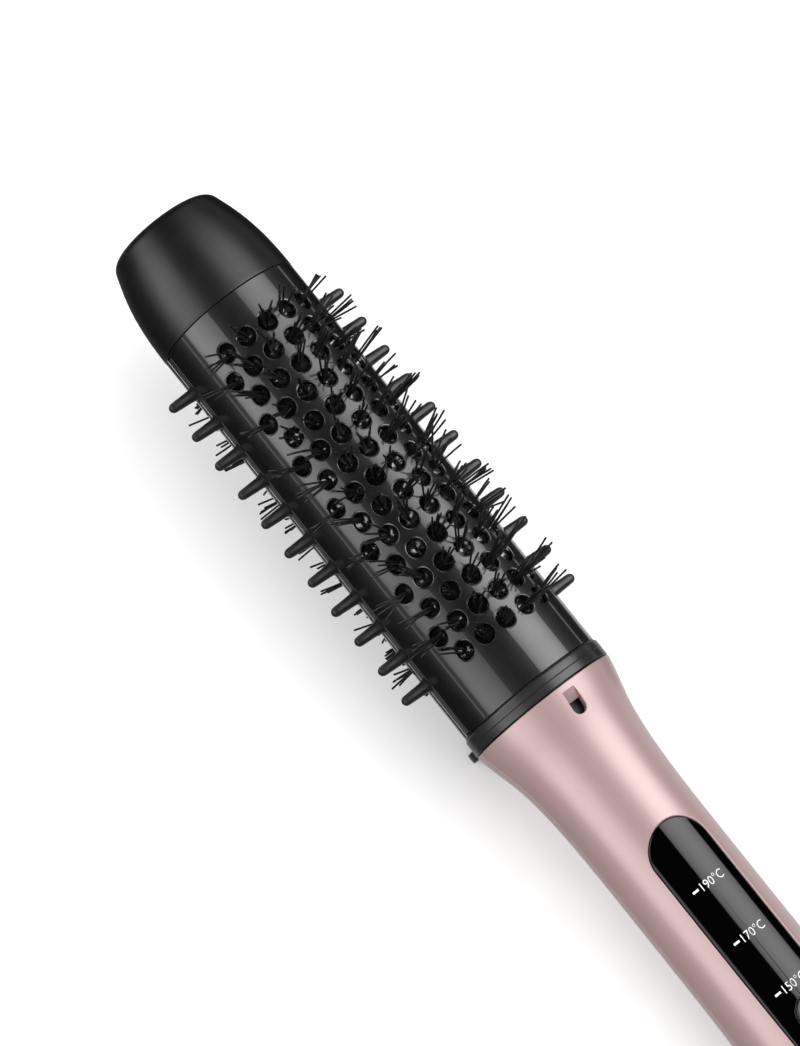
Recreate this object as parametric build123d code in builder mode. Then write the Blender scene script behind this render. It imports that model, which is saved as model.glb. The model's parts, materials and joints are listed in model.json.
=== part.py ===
from build123d import *
import math
import os

# Hot air brush: a perforated round barrel with nylon tufts and two comb strips,
# on a slim handle with a display, a blower, a heater and an ion outlet.
#
# Frame: the brush axis is X and points to the cool tip. Z points up through the
# display, and Y to the left. The origin is the mouth of the cord's bore.
# All lengths are millimetres and all angles degrees.

# ---- driving dimensions -------------------------------------------------------
RUN = 0.05            # radial clearance of a piece that turns
FIT = 0.1             # gap between pieces that are fixed to each other
PARTING = 0.06        # half of the parting line between the handle's halves

HANDLE_FRONT = 180.6  # front edge of the handle's shells
HANDLE_WALL = 2.4
COLLAR_REAR = 181.1
COLLAR_LENGTH = 5.2
COLLAR_RADIUS = 20.45
BARREL_RADIUS = 20.0
BARREL_WALL = 1.0
BARREL_LENGTH = 120.8
PUNCH_LENGTH = 6.0    # how long the hole punches are, well through the wall
HUB_RADIUS = BARREL_RADIUS - BARREL_WALL - FIT
HUB_LENGTH = 5.7

COLLAR_FRONT = COLLAR_REAR + COLLAR_LENGTH
BARREL_END = COLLAR_FRONT + BARREL_LENGTH
TIP_LENGTH = 27.6

# (distance behind the handle's front edge, outer radius)
HANDLE_SECTIONS = (
    (152.6, 17.0), (134.6, 17.3), (108.6, 16.2), (82.6, 15.5), (52.6, 15.5),
    (30.6, 15.75), (18.6, 16.55), (10.2, 17.9), (4.4, 19.4), (0.0, 20.4),
)
HANDLE_OUTLINE = [(HANDLE_FRONT - back, radius) for back, radius in HANDLE_SECTIONS]
HANDLE_REAR = HANDLE_OUTLINE[0][0]

# perforation: odd columns of five holes and even columns of six, half a step apart
HOLE_RADIUS = 2.35
HOLE_CHAMFER = 0.3
COLUMN_STEP = 13.369
ROW_STEP = 18.63
FIRST_COLUMN = COLLAR_FRONT + 109.6
FIVE_ROW_COLUMNS = 8
TUFT_TIP_RADIUS = 29.3

# comb strips
TOOTH_PITCH = 9.295
TOOTH_COUNT = 11
FIRST_TOOTH = COLLAR_FRONT + 109.27
TOOTH_TIP = 27.8
TOOTH_BASE_RADIUS = 1.59
TOOTH_TOP_RADIUS = 1.2
STRIP_HALF_WIDTH = 1.6
STRIP_TOP = 19.8
SLOT_HALF_WIDTH = 1.9
SLOT_END = 0.6        # how much of the barrel is left at each end of a slot

# display window and buttons
WINDOW_FRONT = 140.6
WINDOW_REAR = 63.0
WINDOW_HALF_WIDTH = 8.3
WINDOW_THICKNESS = 1.4
WINDOW_GAP = 0.12
LABEL_X = (122.7, 107.2, 91.7)
LABEL_MARK_Y = 4.2
BUTTON_X = {"power": 71.8, "temp": 83.5}
BUTTON_RADIUS = 4.4
BUTTON_HEIGHT = 1.0
BUTTON_RISE = 0.55    # how far a button stands out of the window
BUTTON_TRAVEL = 0.8

# blower
MOTOR_RADIUS = 9.0
MOTOR_FROM, MOTOR_TO = 42.0, 60.0
SHAFT_RADIUS = 1.0
FAN_FROM, FAN_TO = 33.5, 40.5
FAN_RADIUS = 11.5
FAN_BLADES = 9
SHROUD_INNER = 11.9
SHROUD_WALL = 0.7
SHROUD_FROM, SHROUD_TO = 32.6, 56.0
STATOR_FROM = 46.0
STATOR_VANES = 7
END_BELL_LENGTH = 3.0
BEARING_RADIUS = 3.2
BEARING_LENGTH = 1.4

# cord swivel
CORD_BORE = 3.4
SWIVEL_RADIUS = 5.5
SWIVEL_LENGTH = 16.0
FLANGE_RADIUS = 7.6
FLANGE_FROM, FLANGE_TO = 10.3, 12.3
RETAINER_SCREW_Y = 9.9

# rest stand under the collar
STAND_X = COLLAR_REAR + 2.9
STAND_PIVOT_Z = -22.7
STAND_PIN_RADIUS = 1.2
STAND_FOOT_Z = -33.0
STAND_FOOT_HALF = 13.1
STAND_THICKNESS = 2.6

SCREW_X = (64.6, 145.5)
SCREW_RADIUS = 1.0

ALONG_X = (0, 90, 0)  # turns a solid's own Z axis onto the brush axis
STANDING = (Align.CENTER, Align.CENTER, Align.MIN)
HANGING = (Align.CENTER, Align.CENTER, Align.MAX)

os.makedirs("parts", exist_ok=True)


def finish(builder, name):
    """Labels a finished piece and writes its STEP file."""
    builder.part.label = name
    export_step(builder.part, f"parts/{name}.step")


def tube(x_from, x_to, outer, inner):
    """A plain ring on the brush axis."""
    with BuildPart() as ring:
        with BuildSketch(Plane.YZ.offset(x_from)):
            Circle(outer)
            Circle(inner, mode=Mode.SUBTRACT)
        extrude(amount=x_to - x_from)
    return ring.part


def handle_band(outer_inset, inner_inset):
    """The ring of the handle's wall between two depths below its outer surface."""
    with BuildPart() as band:
        with BuildSketch(Plane.XZ):
            with BuildLine():
                outer = Spline(*[(x, radius - outer_inset) for x, radius in HANDLE_OUTLINE])
                inner = Spline(*[(x, radius - inner_inset) for x, radius in HANDLE_OUTLINE])
                Line(outer @ 0, inner @ 0)
                Line(outer @ 1, inner @ 1)
            make_face()
        revolve(axis=Axis.X)
    return band.part


def pill(margin, height):
    """The window's pill-shaped outline as a prism that stands on the XY plane."""
    length = WINDOW_FRONT - WINDOW_REAR + 2 * margin
    width = 2 * (WINDOW_HALF_WIDTH + margin)
    with BuildPart() as prism:
        with BuildSketch(Plane.XY):
            with Locations(((WINDOW_FRONT + WINDOW_REAR) / 2, 0)):
                SlotOverall(length, width)
        extrude(amount=height)
    return prism.part


def radial(x, angle, radius):
    """A place at a radius from the brush axis, its own Z axis pointing outwards."""
    return Location((x, 0, 0), (angle, 0, 0)) * Location((0, 0, radius))


def hole_places():
    """(x, angle) of each hole of one perforated panel, from the tip backwards."""
    places = []
    for half_step in range(2 * FIVE_ROW_COLUMNS - 1):
        x = FIRST_COLUMN - half_step * COLUMN_STEP / 2
        rows = (-2, -1, 0, 1, 2) if half_step % 2 == 0 else (-2.5, -1.5, -0.5, 0.5, 1.5, 2.5)
        places += [(x, row * ROW_STEP) for row in rows]
    return places


def vent_places():
    """(x, angle) of the openings between the tufts of a carrier."""
    places = []
    for half_step in range(2 * FIVE_ROW_COLUMNS - 1):
        x = FIRST_COLUMN - half_step * COLUMN_STEP / 2
        rows = (-1.5, -0.5, 0.5, 1.5) if half_step % 2 == 0 else (-2, -1, 0, 1, 2)
        places += [(x, row * ROW_STEP) for row in rows]
    return places


HOLES = hole_places()


# ---- barrel -------------------------------------------------------------------
with BuildPart() as barrel:
    with BuildSketch(Plane.YZ.offset(COLLAR_FRONT + FIT)):
        Circle(BARREL_RADIUS)
        Circle(BARREL_RADIUS - BARREL_WALL, mode=Mode.SUBTRACT)
    extrude(amount=BARREL_LENGTH - 2 * FIT)
    punch_places = [radial(x, side + angle, BARREL_RADIUS) for x, angle in HOLES for side in (0, 180)]
    with Locations(punch_places):
        Cylinder(HOLE_RADIUS, PUNCH_LENGTH, align=HANGING, mode=Mode.SUBTRACT)
    chamfer_places = [
        radial(x, side + angle, BARREL_RADIUS - HOLE_CHAMFER) for x, angle in HOLES for side in (0, 180)
    ]
    with Locations(chamfer_places):
        Cone(HOLE_RADIUS, HOLE_RADIUS + 2 * HOLE_CHAMFER, 2 * HOLE_CHAMFER, mode=Mode.SUBTRACT)
    # the two slots of the comb strips, along the whole barrel
    with Locations(((COLLAR_FRONT + BARREL_END) / 2, 0, 0)):
        Box(BARREL_LENGTH - 2 * SLOT_END, 2 * BARREL_RADIUS + 2, 2 * SLOT_HALF_WIDTH, mode=Mode.SUBTRACT)
finish(barrel, "barrel")


# ---- comb strips ----------------------------------------------------------------
STRIP_FROM = COLLAR_FRONT + SLOT_END + 0.4
STRIP_TO = BARREL_END - SLOT_END - 0.4
STRIP_FLANGE_TOP = 18.3
STRIP_BOTTOM = 16.5
STRIP_FLANGE_HALF_WIDTH = 3.4
STRIP_LAND = 5.5      # how much of each end lies on a hub
TOOTH_ROOT = 0.5      # how deep a tooth starts inside the strip

with BuildPart() as comb_strip_left:
    strip_middle = (STRIP_FROM + STRIP_TO) / 2
    with Locations((strip_middle, (STRIP_BOTTOM + STRIP_TOP) / 2, 0)):
        Box(STRIP_TO - STRIP_FROM, STRIP_TOP - STRIP_BOTTOM, 2 * STRIP_HALF_WIDTH)
    # the flange lies inside the barrel, between its two end hubs
    with Locations((strip_middle, (STRIP_BOTTOM + STRIP_FLANGE_TOP) / 2, 0)):
        Box(STRIP_TO - STRIP_FROM - 2 * STRIP_LAND, STRIP_FLANGE_TOP - STRIP_BOTTOM,
            2 * STRIP_FLANGE_HALF_WIDTH)
    cone_height = TOOTH_TIP - TOOTH_TOP_RADIUS - STRIP_TOP
    for tooth in range(TOOTH_COUNT):
        tooth_x = FIRST_TOOTH - tooth * TOOTH_PITCH
        with Locations(Location((tooth_x, STRIP_TOP - TOOTH_ROOT, 0), (-90, 0, 0))):
            Cylinder(TOOTH_BASE_RADIUS, TOOTH_ROOT, align=STANDING)
        with Locations(Location((tooth_x, STRIP_TOP, 0), (-90, 0, 0))):
            Cone(TOOTH_BASE_RADIUS, TOOTH_TOP_RADIUS, cone_height, align=STANDING)
        with Locations((tooth_x, TOOTH_TIP - TOOTH_TOP_RADIUS, 0)):
            Sphere(TOOTH_TOP_RADIUS)
    # both ends step down to pass inside the hubs of the collar and the tip
    for end_x in (STRIP_FROM, STRIP_TO):
        with Locations((end_x, STRIP_BOTTOM, 0)):
            Box(2 * STRIP_LAND, 2 * (HUB_RADIUS + 0.15 - STRIP_BOTTOM), 8, mode=Mode.SUBTRACT)
finish(comb_strip_left, "comb_strip_left")

with BuildPart() as comb_strip_right:
    add(comb_strip_left.part)
    mirror(about=Plane.XZ, mode=Mode.REPLACE)
finish(comb_strip_right, "comb_strip_right")


# ---- bristles and their carriers --------------------------------------------------
CARRIER_OUTER = 17.4
CARRIER_INNER = 15.8
CARRIER_ANGLE = 56.0
CARRIER_END = 6.2     # how far a carrier stops short of the barrel's ends
SOCKET_RADIUS = 0.95
VENT_RADIUS = 1.7
TUFT_ROOT = CARRIER_INNER + 0.2
TUFT_ROOT_RADIUS = 0.85
TUFT_END_RADIUS = 1.5

with BuildPart() as bristle_carrier_front:
    with BuildSketch(Plane.YZ.offset(COLLAR_FRONT + CARRIER_END)):
        Circle(CARRIER_OUTER)
        Circle(CARRIER_INNER, mode=Mode.SUBTRACT)
        # the plate keeps the sector around +Z
        with BuildLine():
            reach = 2 * CARRIER_OUTER
            turn = math.radians(CARRIER_ANGLE)
            edge = (reach * math.sin(turn), reach * math.cos(turn))
            Polyline((0, 0), edge, (edge[0], reach), (-edge[0], reach), (-edge[0], edge[1]), (0, 0))
        make_face(mode=Mode.INTERSECT)
    extrude(amount=BARREL_LENGTH - 2 * CARRIER_END)
    with Locations([radial(x, angle, CARRIER_INNER) for x, angle in HOLES]):
        Cylinder(SOCKET_RADIUS, 6, mode=Mode.SUBTRACT)
    with Locations([radial(x, angle, CARRIER_INNER) for x, angle in vent_places()]):
        Cylinder(VENT_RADIUS, 6, mode=Mode.SUBTRACT)
finish(bristle_carrier_front, "bristle_carrier_front")

with BuildPart() as bristle_carrier_back:
    add(bristle_carrier_front.part)
    mirror(about=Plane.XY, mode=Mode.REPLACE)
finish(bristle_carrier_back, "bristle_carrier_back")

with BuildPart() as bristles_front:
    with Locations([radial(x, angle, TUFT_ROOT) for x, angle in HOLES]):
        Cone(TUFT_ROOT_RADIUS, TUFT_END_RADIUS, TUFT_TIP_RADIUS - TUFT_ROOT, align=STANDING)
finish(bristles_front, "bristles_front")

with BuildPart() as bristles_back:
    add(bristles_front.part)
    mirror(about=Plane.XY, mode=Mode.REPLACE)
finish(bristles_back, "bristles_back")


# ---- inner frame: ring, spokes, tapered air guide and tip disc ----------------------
POST_RADIUS = 3.5
GUIDE_END_RADIUS = 9.5
FRAME_FROM = COLLAR_FRONT + 0.2
FRAME_TO = BARREL_END + 1.9
RING_OUTER = 17.1
RING_INNER = 15.4
RING_LENGTH = 3.5
GUIDE_FROM = COLLAR_FRONT + 14.0
GUIDE_TO = BARREL_END - 12.0
GUIDE_STEP = BARREL_END - 8.0
REST_RING_OUTER = CARRIER_INNER - 0.4
REST_RING_INNER = CARRIER_INNER - 2.0
REST_RING_FROM = BARREL_END - 6.0
REST_RING_LENGTH = 2.5
SPOKE_WIDTH = 2.2
SPOKES = 3
FIN_THICKNESS = 1.6
PILOT_RADIUS = 1.5    # pilot hole of the tip screw

with BuildPart() as inner_frame:
    with BuildSketch(Plane.XZ):
        with BuildLine():
            Polyline(
                (FRAME_FROM, 0), (FRAME_FROM, POST_RADIUS), (GUIDE_FROM, POST_RADIUS),
                (GUIDE_TO, GUIDE_END_RADIUS), (GUIDE_STEP, GUIDE_END_RADIUS),
                (GUIDE_STEP, POST_RADIUS), (FRAME_TO, POST_RADIUS), (FRAME_TO, 0), (FRAME_FROM, 0),
            )
        make_face()
    revolve(axis=Axis.X)
    with BuildSketch(Plane.YZ.offset(FRAME_FROM)):
        Circle(RING_OUTER)
        Circle(RING_INNER, mode=Mode.SUBTRACT)
        with PolarLocations(0, SPOKES, start_angle=90):
            with Locations((RING_INNER / 2 + 1, 0)):
                Rectangle(RING_INNER, SPOKE_WIDTH)
    extrude(amount=RING_LENGTH)
    with BuildSketch(Plane.YZ.offset(REST_RING_FROM)):
        Circle(REST_RING_OUTER)
        Circle(REST_RING_INNER, mode=Mode.SUBTRACT)
        with PolarLocations(0, SPOKES, start_angle=90):
            with Locations((RING_INNER / 2 - 0.5, 0)):
                Rectangle(RING_INNER - 2, SPOKE_WIDTH)
    extrude(amount=REST_RING_LENGTH)
    # two fins carry the comb strips
    with Locations(((COLLAR_FRONT + BARREL_END) / 2, 0, 0)):
        Box(BARREL_LENGTH - 40, 2 * (STRIP_BOTTOM - 0.2), FIN_THICKNESS)
    with Locations(Location((FRAME_TO, 0, 0), ALONG_X)):
        Cylinder(PILOT_RADIUS, 18, mode=Mode.SUBTRACT)
finish(inner_frame, "inner_frame")


# ---- cool tip -----------------------------------------------------------------------
TIP_END = BARREL_END + TIP_LENGTH
TIP_WALL = 2.0
# (distance from the barrel's end, outer radius)
TIP_SECTIONS = ((0.0, 20.1), (7.5, 19.85), (13.6, 19.15), (19.8, 17.8), (25.3, 16.05))
TIP_FACE_RADIUS = 12.9
PLUG_RADIUS = 5.5
PLUG_THICKNESS = 1.6
TIP_FLOOR = 2.0
TIP_POCKET = 5.0
SOCKET_FROM = BARREL_END + 2.2
SOCKET_WALL_RADIUS = POST_RADIUS + 1.5
SOCKET_TO = TIP_END - TIP_POCKET - TIP_FLOOR
FACE_INSIDE = TIP_END - 3.2
SKIRT_FROM = BARREL_END + 12.0
SPIGOT_WALL = 1.7
TIP_SCREW_RADIUS = 1.45
TIP_SCREW_HOLE = 1.7
TIP_SCREW_HEAD = 2.2

with BuildPart() as cool_tip:
    with BuildSketch(Plane.XZ):
        with BuildLine():
            side = Spline(*[(BARREL_END + along, radius) for along, radius in TIP_SECTIONS])
            rim = TangentArc(side @ 1, (TIP_END, TIP_FACE_RADIUS), tangent=side % 1)
            Polyline(
                rim @ 1, (TIP_END, 0), (SOCKET_FROM, 0), (SOCKET_FROM, SOCKET_WALL_RADIUS),
                (SOCKET_TO, SOCKET_WALL_RADIUS), (FACE_INSIDE, PLUG_RADIUS + 1.8),
                (FACE_INSIDE, TIP_FACE_RADIUS - 1), (SKIRT_FROM, HUB_RADIUS - TIP_WALL),
                (BARREL_END - HUB_LENGTH, HUB_RADIUS - SPIGOT_WALL), (BARREL_END - HUB_LENGTH, HUB_RADIUS),
                (BARREL_END, HUB_RADIUS), side @ 0,
            )
        make_face()
    revolve(axis=Axis.X)
    with Locations(Location((TIP_END - TIP_POCKET / 2, 0, 0), ALONG_X)):
        Cylinder(PLUG_RADIUS + FIT, TIP_POCKET, mode=Mode.SUBTRACT)
    with Locations(Location((BARREL_END + TIP_LENGTH / 2, 0, 0), ALONG_X)):
        Cylinder(TIP_SCREW_HOLE, TIP_LENGTH, mode=Mode.SUBTRACT)
finish(cool_tip, "cool_tip")

with BuildPart() as tip_plug:
    with BuildSketch(Plane.YZ.offset(TIP_END - PLUG_THICKNESS)):
        Circle(PLUG_RADIUS)
    extrude(amount=PLUG_THICKNESS)
    chamfer(tip_plug.edges().group_by(Axis.X)[-1], 0.3)
finish(tip_plug, "tip_plug")

with BuildPart() as tip_screw:
    head_from = TIP_END - TIP_POCKET
    with BuildSketch(Plane.YZ.offset(head_from)):
        Circle(2 * PILOT_RADIUS)
    extrude(amount=TIP_SCREW_HEAD)
    with BuildSketch(Plane.YZ.offset(head_from)):
        Circle(TIP_SCREW_RADIUS)
    extrude(amount=-(head_from - BARREL_END + 5))
    with BuildSketch(Plane.YZ.offset(head_from + TIP_SCREW_HEAD)):
        Rectangle(3.6, 0.8)
        Rectangle(0.8, 3.6)
    extrude(amount=-1.1, mode=Mode.SUBTRACT)
finish(tip_screw, "tip_screw")


# ---- collar ---------------------------------------------------------------------------
SPIGOT_RADIUS = 17.4
SPIGOT_FROM = COLLAR_REAR - 3.0
AIRWAY_RADIUS = 15.6
LUG_HALF = 4.8
LUG_RADIUS = 2.1
GROOVE = 0.18
GROOVE_X = STAND_X - 0.3

with BuildPart() as head_collar:
    with BuildSketch(Plane.XZ):
        with BuildLine():
            Polyline(
                (SPIGOT_FROM, AIRWAY_RADIUS), (SPIGOT_FROM, SPIGOT_RADIUS), (COLLAR_REAR, SPIGOT_RADIUS),
                (COLLAR_REAR, COLLAR_RADIUS), (GROOVE_X - GROOVE, COLLAR_RADIUS),
                (GROOVE_X, COLLAR_RADIUS - GROOVE), (GROOVE_X + GROOVE, COLLAR_RADIUS),
                (COLLAR_FRONT, COLLAR_RADIUS), (COLLAR_FRONT, HUB_RADIUS),
                (COLLAR_FRONT + HUB_LENGTH, HUB_RADIUS),
                (COLLAR_FRONT + HUB_LENGTH, HUB_RADIUS - SPIGOT_WALL),
                (COLLAR_FRONT, HUB_RADIUS - SPIGOT_WALL), (COLLAR_FRONT, AIRWAY_RADIUS),
                (SPIGOT_FROM, AIRWAY_RADIUS),
            )
        make_face()
    revolve(axis=Axis.X)
    rims = head_collar.edges().filter_by(GeomType.CIRCLE).filter_by(
        lambda edge: abs(edge.radius - COLLAR_RADIUS) < 0.01)
    fillet(rims.sort_by(Axis.X)[-1], 1.0)
    fillet(rims.sort_by(Axis.X)[0], 0.35)
    # the lug that carries the stand's pin
    with BuildSketch(Plane.XZ.offset(-LUG_HALF)):
        with Locations((STAND_X, STAND_PIVOT_Z)):
            Circle(LUG_RADIUS)
        with Locations((STAND_X, STAND_PIVOT_Z + 2)):
            Rectangle(2 * LUG_RADIUS, 4.0)
    extrude(amount=2 * LUG_HALF)
    with Locations(Location((STAND_X, 0, STAND_PIVOT_Z), (90, 0, 0))):
        Cylinder(STAND_PIN_RADIUS + 0.03, 4 * LUG_HALF, mode=Mode.SUBTRACT)
finish(head_collar, "head_collar")


# ---- rest stand --------------------------------------------------------------------------
EYE_FROM = LUG_HALF + 0.35
EYE_TO = EYE_FROM + 2.8
FOOT_ROUND = 1.8
FOOT_HEIGHT = 2.6
LEG_WIDTH = 3.0
LEG_END = STAND_FOOT_Z + 3.0
PAD_THICKNESS = 0.8
PAD_LENGTH = 3.7
PAD_MIDDLE_Y = 9.35

with BuildPart() as rest_stand:
    with BuildSketch(Plane.YZ.offset(STAND_X - STAND_THICKNESS / 2)) as stand_outline:
        with BuildLine():
            Polyline(
                (EYE_FROM, STAND_PIVOT_Z), (EYE_TO, STAND_PIVOT_Z), (STAND_FOOT_HALF, LEG_END),
                (STAND_FOOT_HALF, STAND_FOOT_Z), (-STAND_FOOT_HALF, STAND_FOOT_Z),
                (-STAND_FOOT_HALF, LEG_END), (-EYE_TO, STAND_PIVOT_Z), (-EYE_FROM, STAND_PIVOT_Z),
                (-STAND_FOOT_HALF + LEG_WIDTH, STAND_FOOT_Z + FOOT_HEIGHT),
                (STAND_FOOT_HALF - LEG_WIDTH, STAND_FOOT_Z + FOOT_HEIGHT),
                (EYE_FROM, STAND_PIVOT_Z),
            )
        make_face()
        fillet(stand_outline.vertices().filter_by(lambda corner: corner.Y < STAND_FOOT_Z + 0.1), FOOT_ROUND)
    extrude(amount=STAND_THICKNESS)
    for side in (-1, 1):
        middle = side * (EYE_FROM + EYE_TO) / 2
        with Locations(Location((STAND_X, middle, STAND_PIVOT_Z), (90, 0, 0))):
            Cylinder(LUG_RADIUS, EYE_TO - EYE_FROM)
    with Locations(Location((STAND_X, 0, STAND_PIVOT_Z), (90, 0, 0))):
        Cylinder(STAND_PIN_RADIUS + RUN, 2 * STAND_FOOT_HALF, mode=Mode.SUBTRACT)
finish(rest_stand, "rest_stand")

with BuildPart() as stand_pads:
    for side in (-1, 1):
        with Locations((STAND_X, side * PAD_MIDDLE_Y, STAND_FOOT_Z)):
            Box(STAND_THICKNESS, PAD_LENGTH, PAD_THICKNESS, align=HANGING)
finish(stand_pads, "stand_pads")

with BuildPart() as stand_pin:
    with Locations(Location((STAND_X, 0, STAND_PIVOT_Z), (90, 0, 0))):
        Cylinder(STAND_PIN_RADIUS, 2 * EYE_TO)
    chamfer(stand_pin.edges(), 0.2)
finish(stand_pin, "stand_pin")


# ---- handle shells -----------------------------------------------------------------------
BOSS_RADIUS = 2.8
BOSS_LENGTH = 14.8
SCREW_SEAT = -5.0
SCREW_HEAD_RADIUS = 1.9
SCREW_HEAD = 1.8
SCREW_LENGTH = 11.0
LIGHT_SLOT = (1.8, 2.8)
ION_SLOT_Y = -0.9
ION_SLOT_WIDTH = 3.6
ION_SLOT_FROM, ION_SLOT_TO = 172.8, 179.5
ION_HOLE_TO = 176.6

with BuildPart() as window_pocket:
    add(handle_band(-4.0, WINDOW_THICKNESS + WINDOW_GAP))
    add(pill(WINDOW_GAP, 30), mode=Mode.INTERSECT)

with BuildPart() as front_shell:
    add(handle_band(0, HANDLE_WALL))
    split(bisect_by=Plane.XY.offset(PARTING), keep=Keep.TOP)
    for screw_x in SCREW_X:
        with BuildSketch(Plane.XY.offset(PARTING)):
            with Locations((screw_x, 0)):
                Circle(BOSS_RADIUS)
                Circle(SCREW_RADIUS + 0.03, mode=Mode.SUBTRACT)
        extrude(amount=BOSS_LENGTH)
    add(window_pocket.part, mode=Mode.SUBTRACT)
    for button_x in BUTTON_X.values():
        with Locations((button_x, 0, 13)):
            Cylinder(2.4, 8, mode=Mode.SUBTRACT)
    for label_x in LABEL_X:
        with Locations((label_x, LABEL_MARK_Y, 13)):
            Box(*LIGHT_SLOT, 6, mode=Mode.SUBTRACT)
    # ion outlet: a ramp that starts near the collar and drops into a round-ended hole
    with BuildSketch(Plane.XY.offset(10)) as ion_hole:
        with Locations(((ION_SLOT_FROM + ION_HOLE_TO) / 2, ION_SLOT_Y)):
            Rectangle(ION_HOLE_TO - ION_SLOT_FROM, ION_SLOT_WIDTH)
        fillet(ion_hole.vertices().group_by(Axis.X)[0], 1.4)
    extrude(amount=12, mode=Mode.SUBTRACT)
    with BuildSketch(Plane.XZ.offset(-ION_SLOT_Y - ION_SLOT_WIDTH / 2)):
        with BuildLine():
            Polyline(
                (ION_HOLE_TO - 1, 17.2), (ION_SLOT_TO, 20.35), (ION_SLOT_TO, 23), (ION_HOLE_TO - 1, 23),
                (ION_HOLE_TO - 1, 17.2),
            )
        make_face()
    extrude(amount=ION_SLOT_WIDTH, mode=Mode.SUBTRACT)
finish(front_shell, "front_shell")

with BuildPart() as back_shell:
    add(handle_band(0, HANDLE_WALL))
    split(bisect_by=Plane.XY.offset(-PARTING), keep=Keep.BOTTOM)
    for screw_x in SCREW_X:
        with BuildSketch(Plane.XY.offset(-PARTING)):
            with Locations((screw_x, 0)):
                Circle(BOSS_RADIUS)
        extrude(amount=-BOSS_LENGTH)
        with Locations((screw_x, 0, -10)):
            Cylinder(SCREW_RADIUS + FIT, 20.5, mode=Mode.SUBTRACT)
        with Locations((screw_x, 0, SCREW_SEAT - 8)):
            Cylinder(SCREW_HEAD_RADIUS + 0.2, 16, mode=Mode.SUBTRACT)
finish(back_shell, "back_shell")

with BuildPart() as handle_screws:
    for screw_x in SCREW_X:
        with Locations((screw_x, 0, SCREW_SEAT)):
            Cylinder(SCREW_HEAD_RADIUS, SCREW_HEAD, align=HANGING)
            Cylinder(SCREW_RADIUS, SCREW_LENGTH, align=STANDING)
        with Locations((screw_x, 0, SCREW_SEAT - 1.5)):
            Box(2.4, 0.6, 0.8, mode=Mode.SUBTRACT)
            Box(0.6, 2.4, 0.8, mode=Mode.SUBTRACT)
finish(handle_screws, "handle_screws")


# ---- display window and buttons --------------------------------------------------------------
with BuildPart() as display_window:
    add(handle_band(0, WINDOW_THICKNESS))
    add(pill(0, 30), mode=Mode.INTERSECT)
    for button_x in BUTTON_X.values():
        with Locations((button_x, 0, 15)):
            Cylinder(BUTTON_RADIUS + 0.2, 10, mode=Mode.SUBTRACT)
finish(display_window, "display_window")

BOARD_FROM, BOARD_TO = 68.2, 136.0
BOARD_TOP = 9.8
BOARD_THICKNESS = 1.2
BOARD_HALF_WIDTH = 8.0
SWITCH_SIDE = 6.2
SWITCH_TOP = 12.5
PLUNGER_RADIUS = 1.5
PLUNGER_TOP = SWITCH_TOP + BUTTON_TRAVEL
PLUNGER_DEPTH = 1.4   # how far the plunger reaches into its switch at rest
STEM_RADIUS = 1.4
STEM_GAP = 0.04


def handle_radius(x):
    """The handle's outer radius at x, read from its outline."""
    for (x0, r0), (x1, r1) in zip(HANDLE_OUTLINE, HANDLE_OUTLINE[1:]):
        if x0 <= x <= x1:
            return r0 + (r1 - r0) * (x - x0) / (x1 - x0)
    return HANDLE_OUTLINE[-1][1]


for name, button_x in BUTTON_X.items():
    top = handle_radius(button_x) + BUTTON_RISE
    with BuildPart() as button:
        with Locations((button_x, 0, top)):
            Cylinder(BUTTON_RADIUS, BUTTON_HEIGHT, align=HANGING)
        fillet(button.edges().group_by(Axis.Z)[-1], 0.35)
        stem_bottom = PLUNGER_TOP + STEM_GAP
        with Locations((button_x, 0, stem_bottom)):
            Cylinder(STEM_RADIUS, top - BUTTON_HEIGHT + 0.1 - stem_bottom, align=STANDING)
    finish(button, f"{name}_button")

    with BuildPart() as plunger:
        with Locations((button_x, 0, PLUNGER_TOP)):
            Cylinder(PLUNGER_RADIUS, BUTTON_TRAVEL + PLUNGER_DEPTH, align=HANGING)
    finish(plunger, f"{name}_switch_plunger")

    with BuildPart() as switch:
        with Locations((button_x, 0, BOARD_TOP)):
            Box(SWITCH_SIDE, SWITCH_SIDE, SWITCH_TOP - BOARD_TOP, align=STANDING)
        with Locations((button_x, 0, SWITCH_TOP)):
            Cylinder(PLUNGER_RADIUS + RUN, SWITCH_TOP - BOARD_TOP - 0.1, align=HANGING, mode=Mode.SUBTRACT)
    finish(switch, f"{name}_switch")


# ---- electronics --------------------------------------------------------------------------------
LIGHT_PIPE_SIZE = (1.2, 2.2, 2.2)
LIGHT_PIPE_Z = 11.85
LED_SIZE = (1.2, 2.0, 0.8)
TRIAC_X, TRIAC_SIZE = 80.0, (10, 9, 4.4)
TRIAC_TAB_X, TRIAC_TAB_SIZE = 88.0, (6, 9, 1.2)
CAPACITOR_X, CAPACITOR_SIZE = 101.0, (13, 8, 8)
ION_GENERATOR_X, ION_GENERATOR_SIZE = 121.0, (18, 10, 7.8)

with BuildPart() as circuit_board:
    with BuildSketch(Plane.XY.offset(BOARD_TOP)):
        with Locations(((BOARD_FROM + BOARD_TO) / 2, 0)):
            RectangleRounded(BOARD_TO - BOARD_FROM, 2 * BOARD_HALF_WIDTH, 1.5)
    extrude(amount=-BOARD_THICKNESS)
finish(circuit_board, "circuit_board")

with BuildPart() as indicator_leds:
    for label_x in LABEL_X:
        with Locations((label_x, LABEL_MARK_Y, BOARD_TOP)):
            Box(*LED_SIZE, align=STANDING)
finish(indicator_leds, "indicator_leds")

with BuildPart() as light_pipes:
    for label_x in LABEL_X:
        with Locations((label_x, LABEL_MARK_Y, LIGHT_PIPE_Z)):
            Box(*LIGHT_PIPE_SIZE)
finish(light_pipes, "light_pipes")

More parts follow.
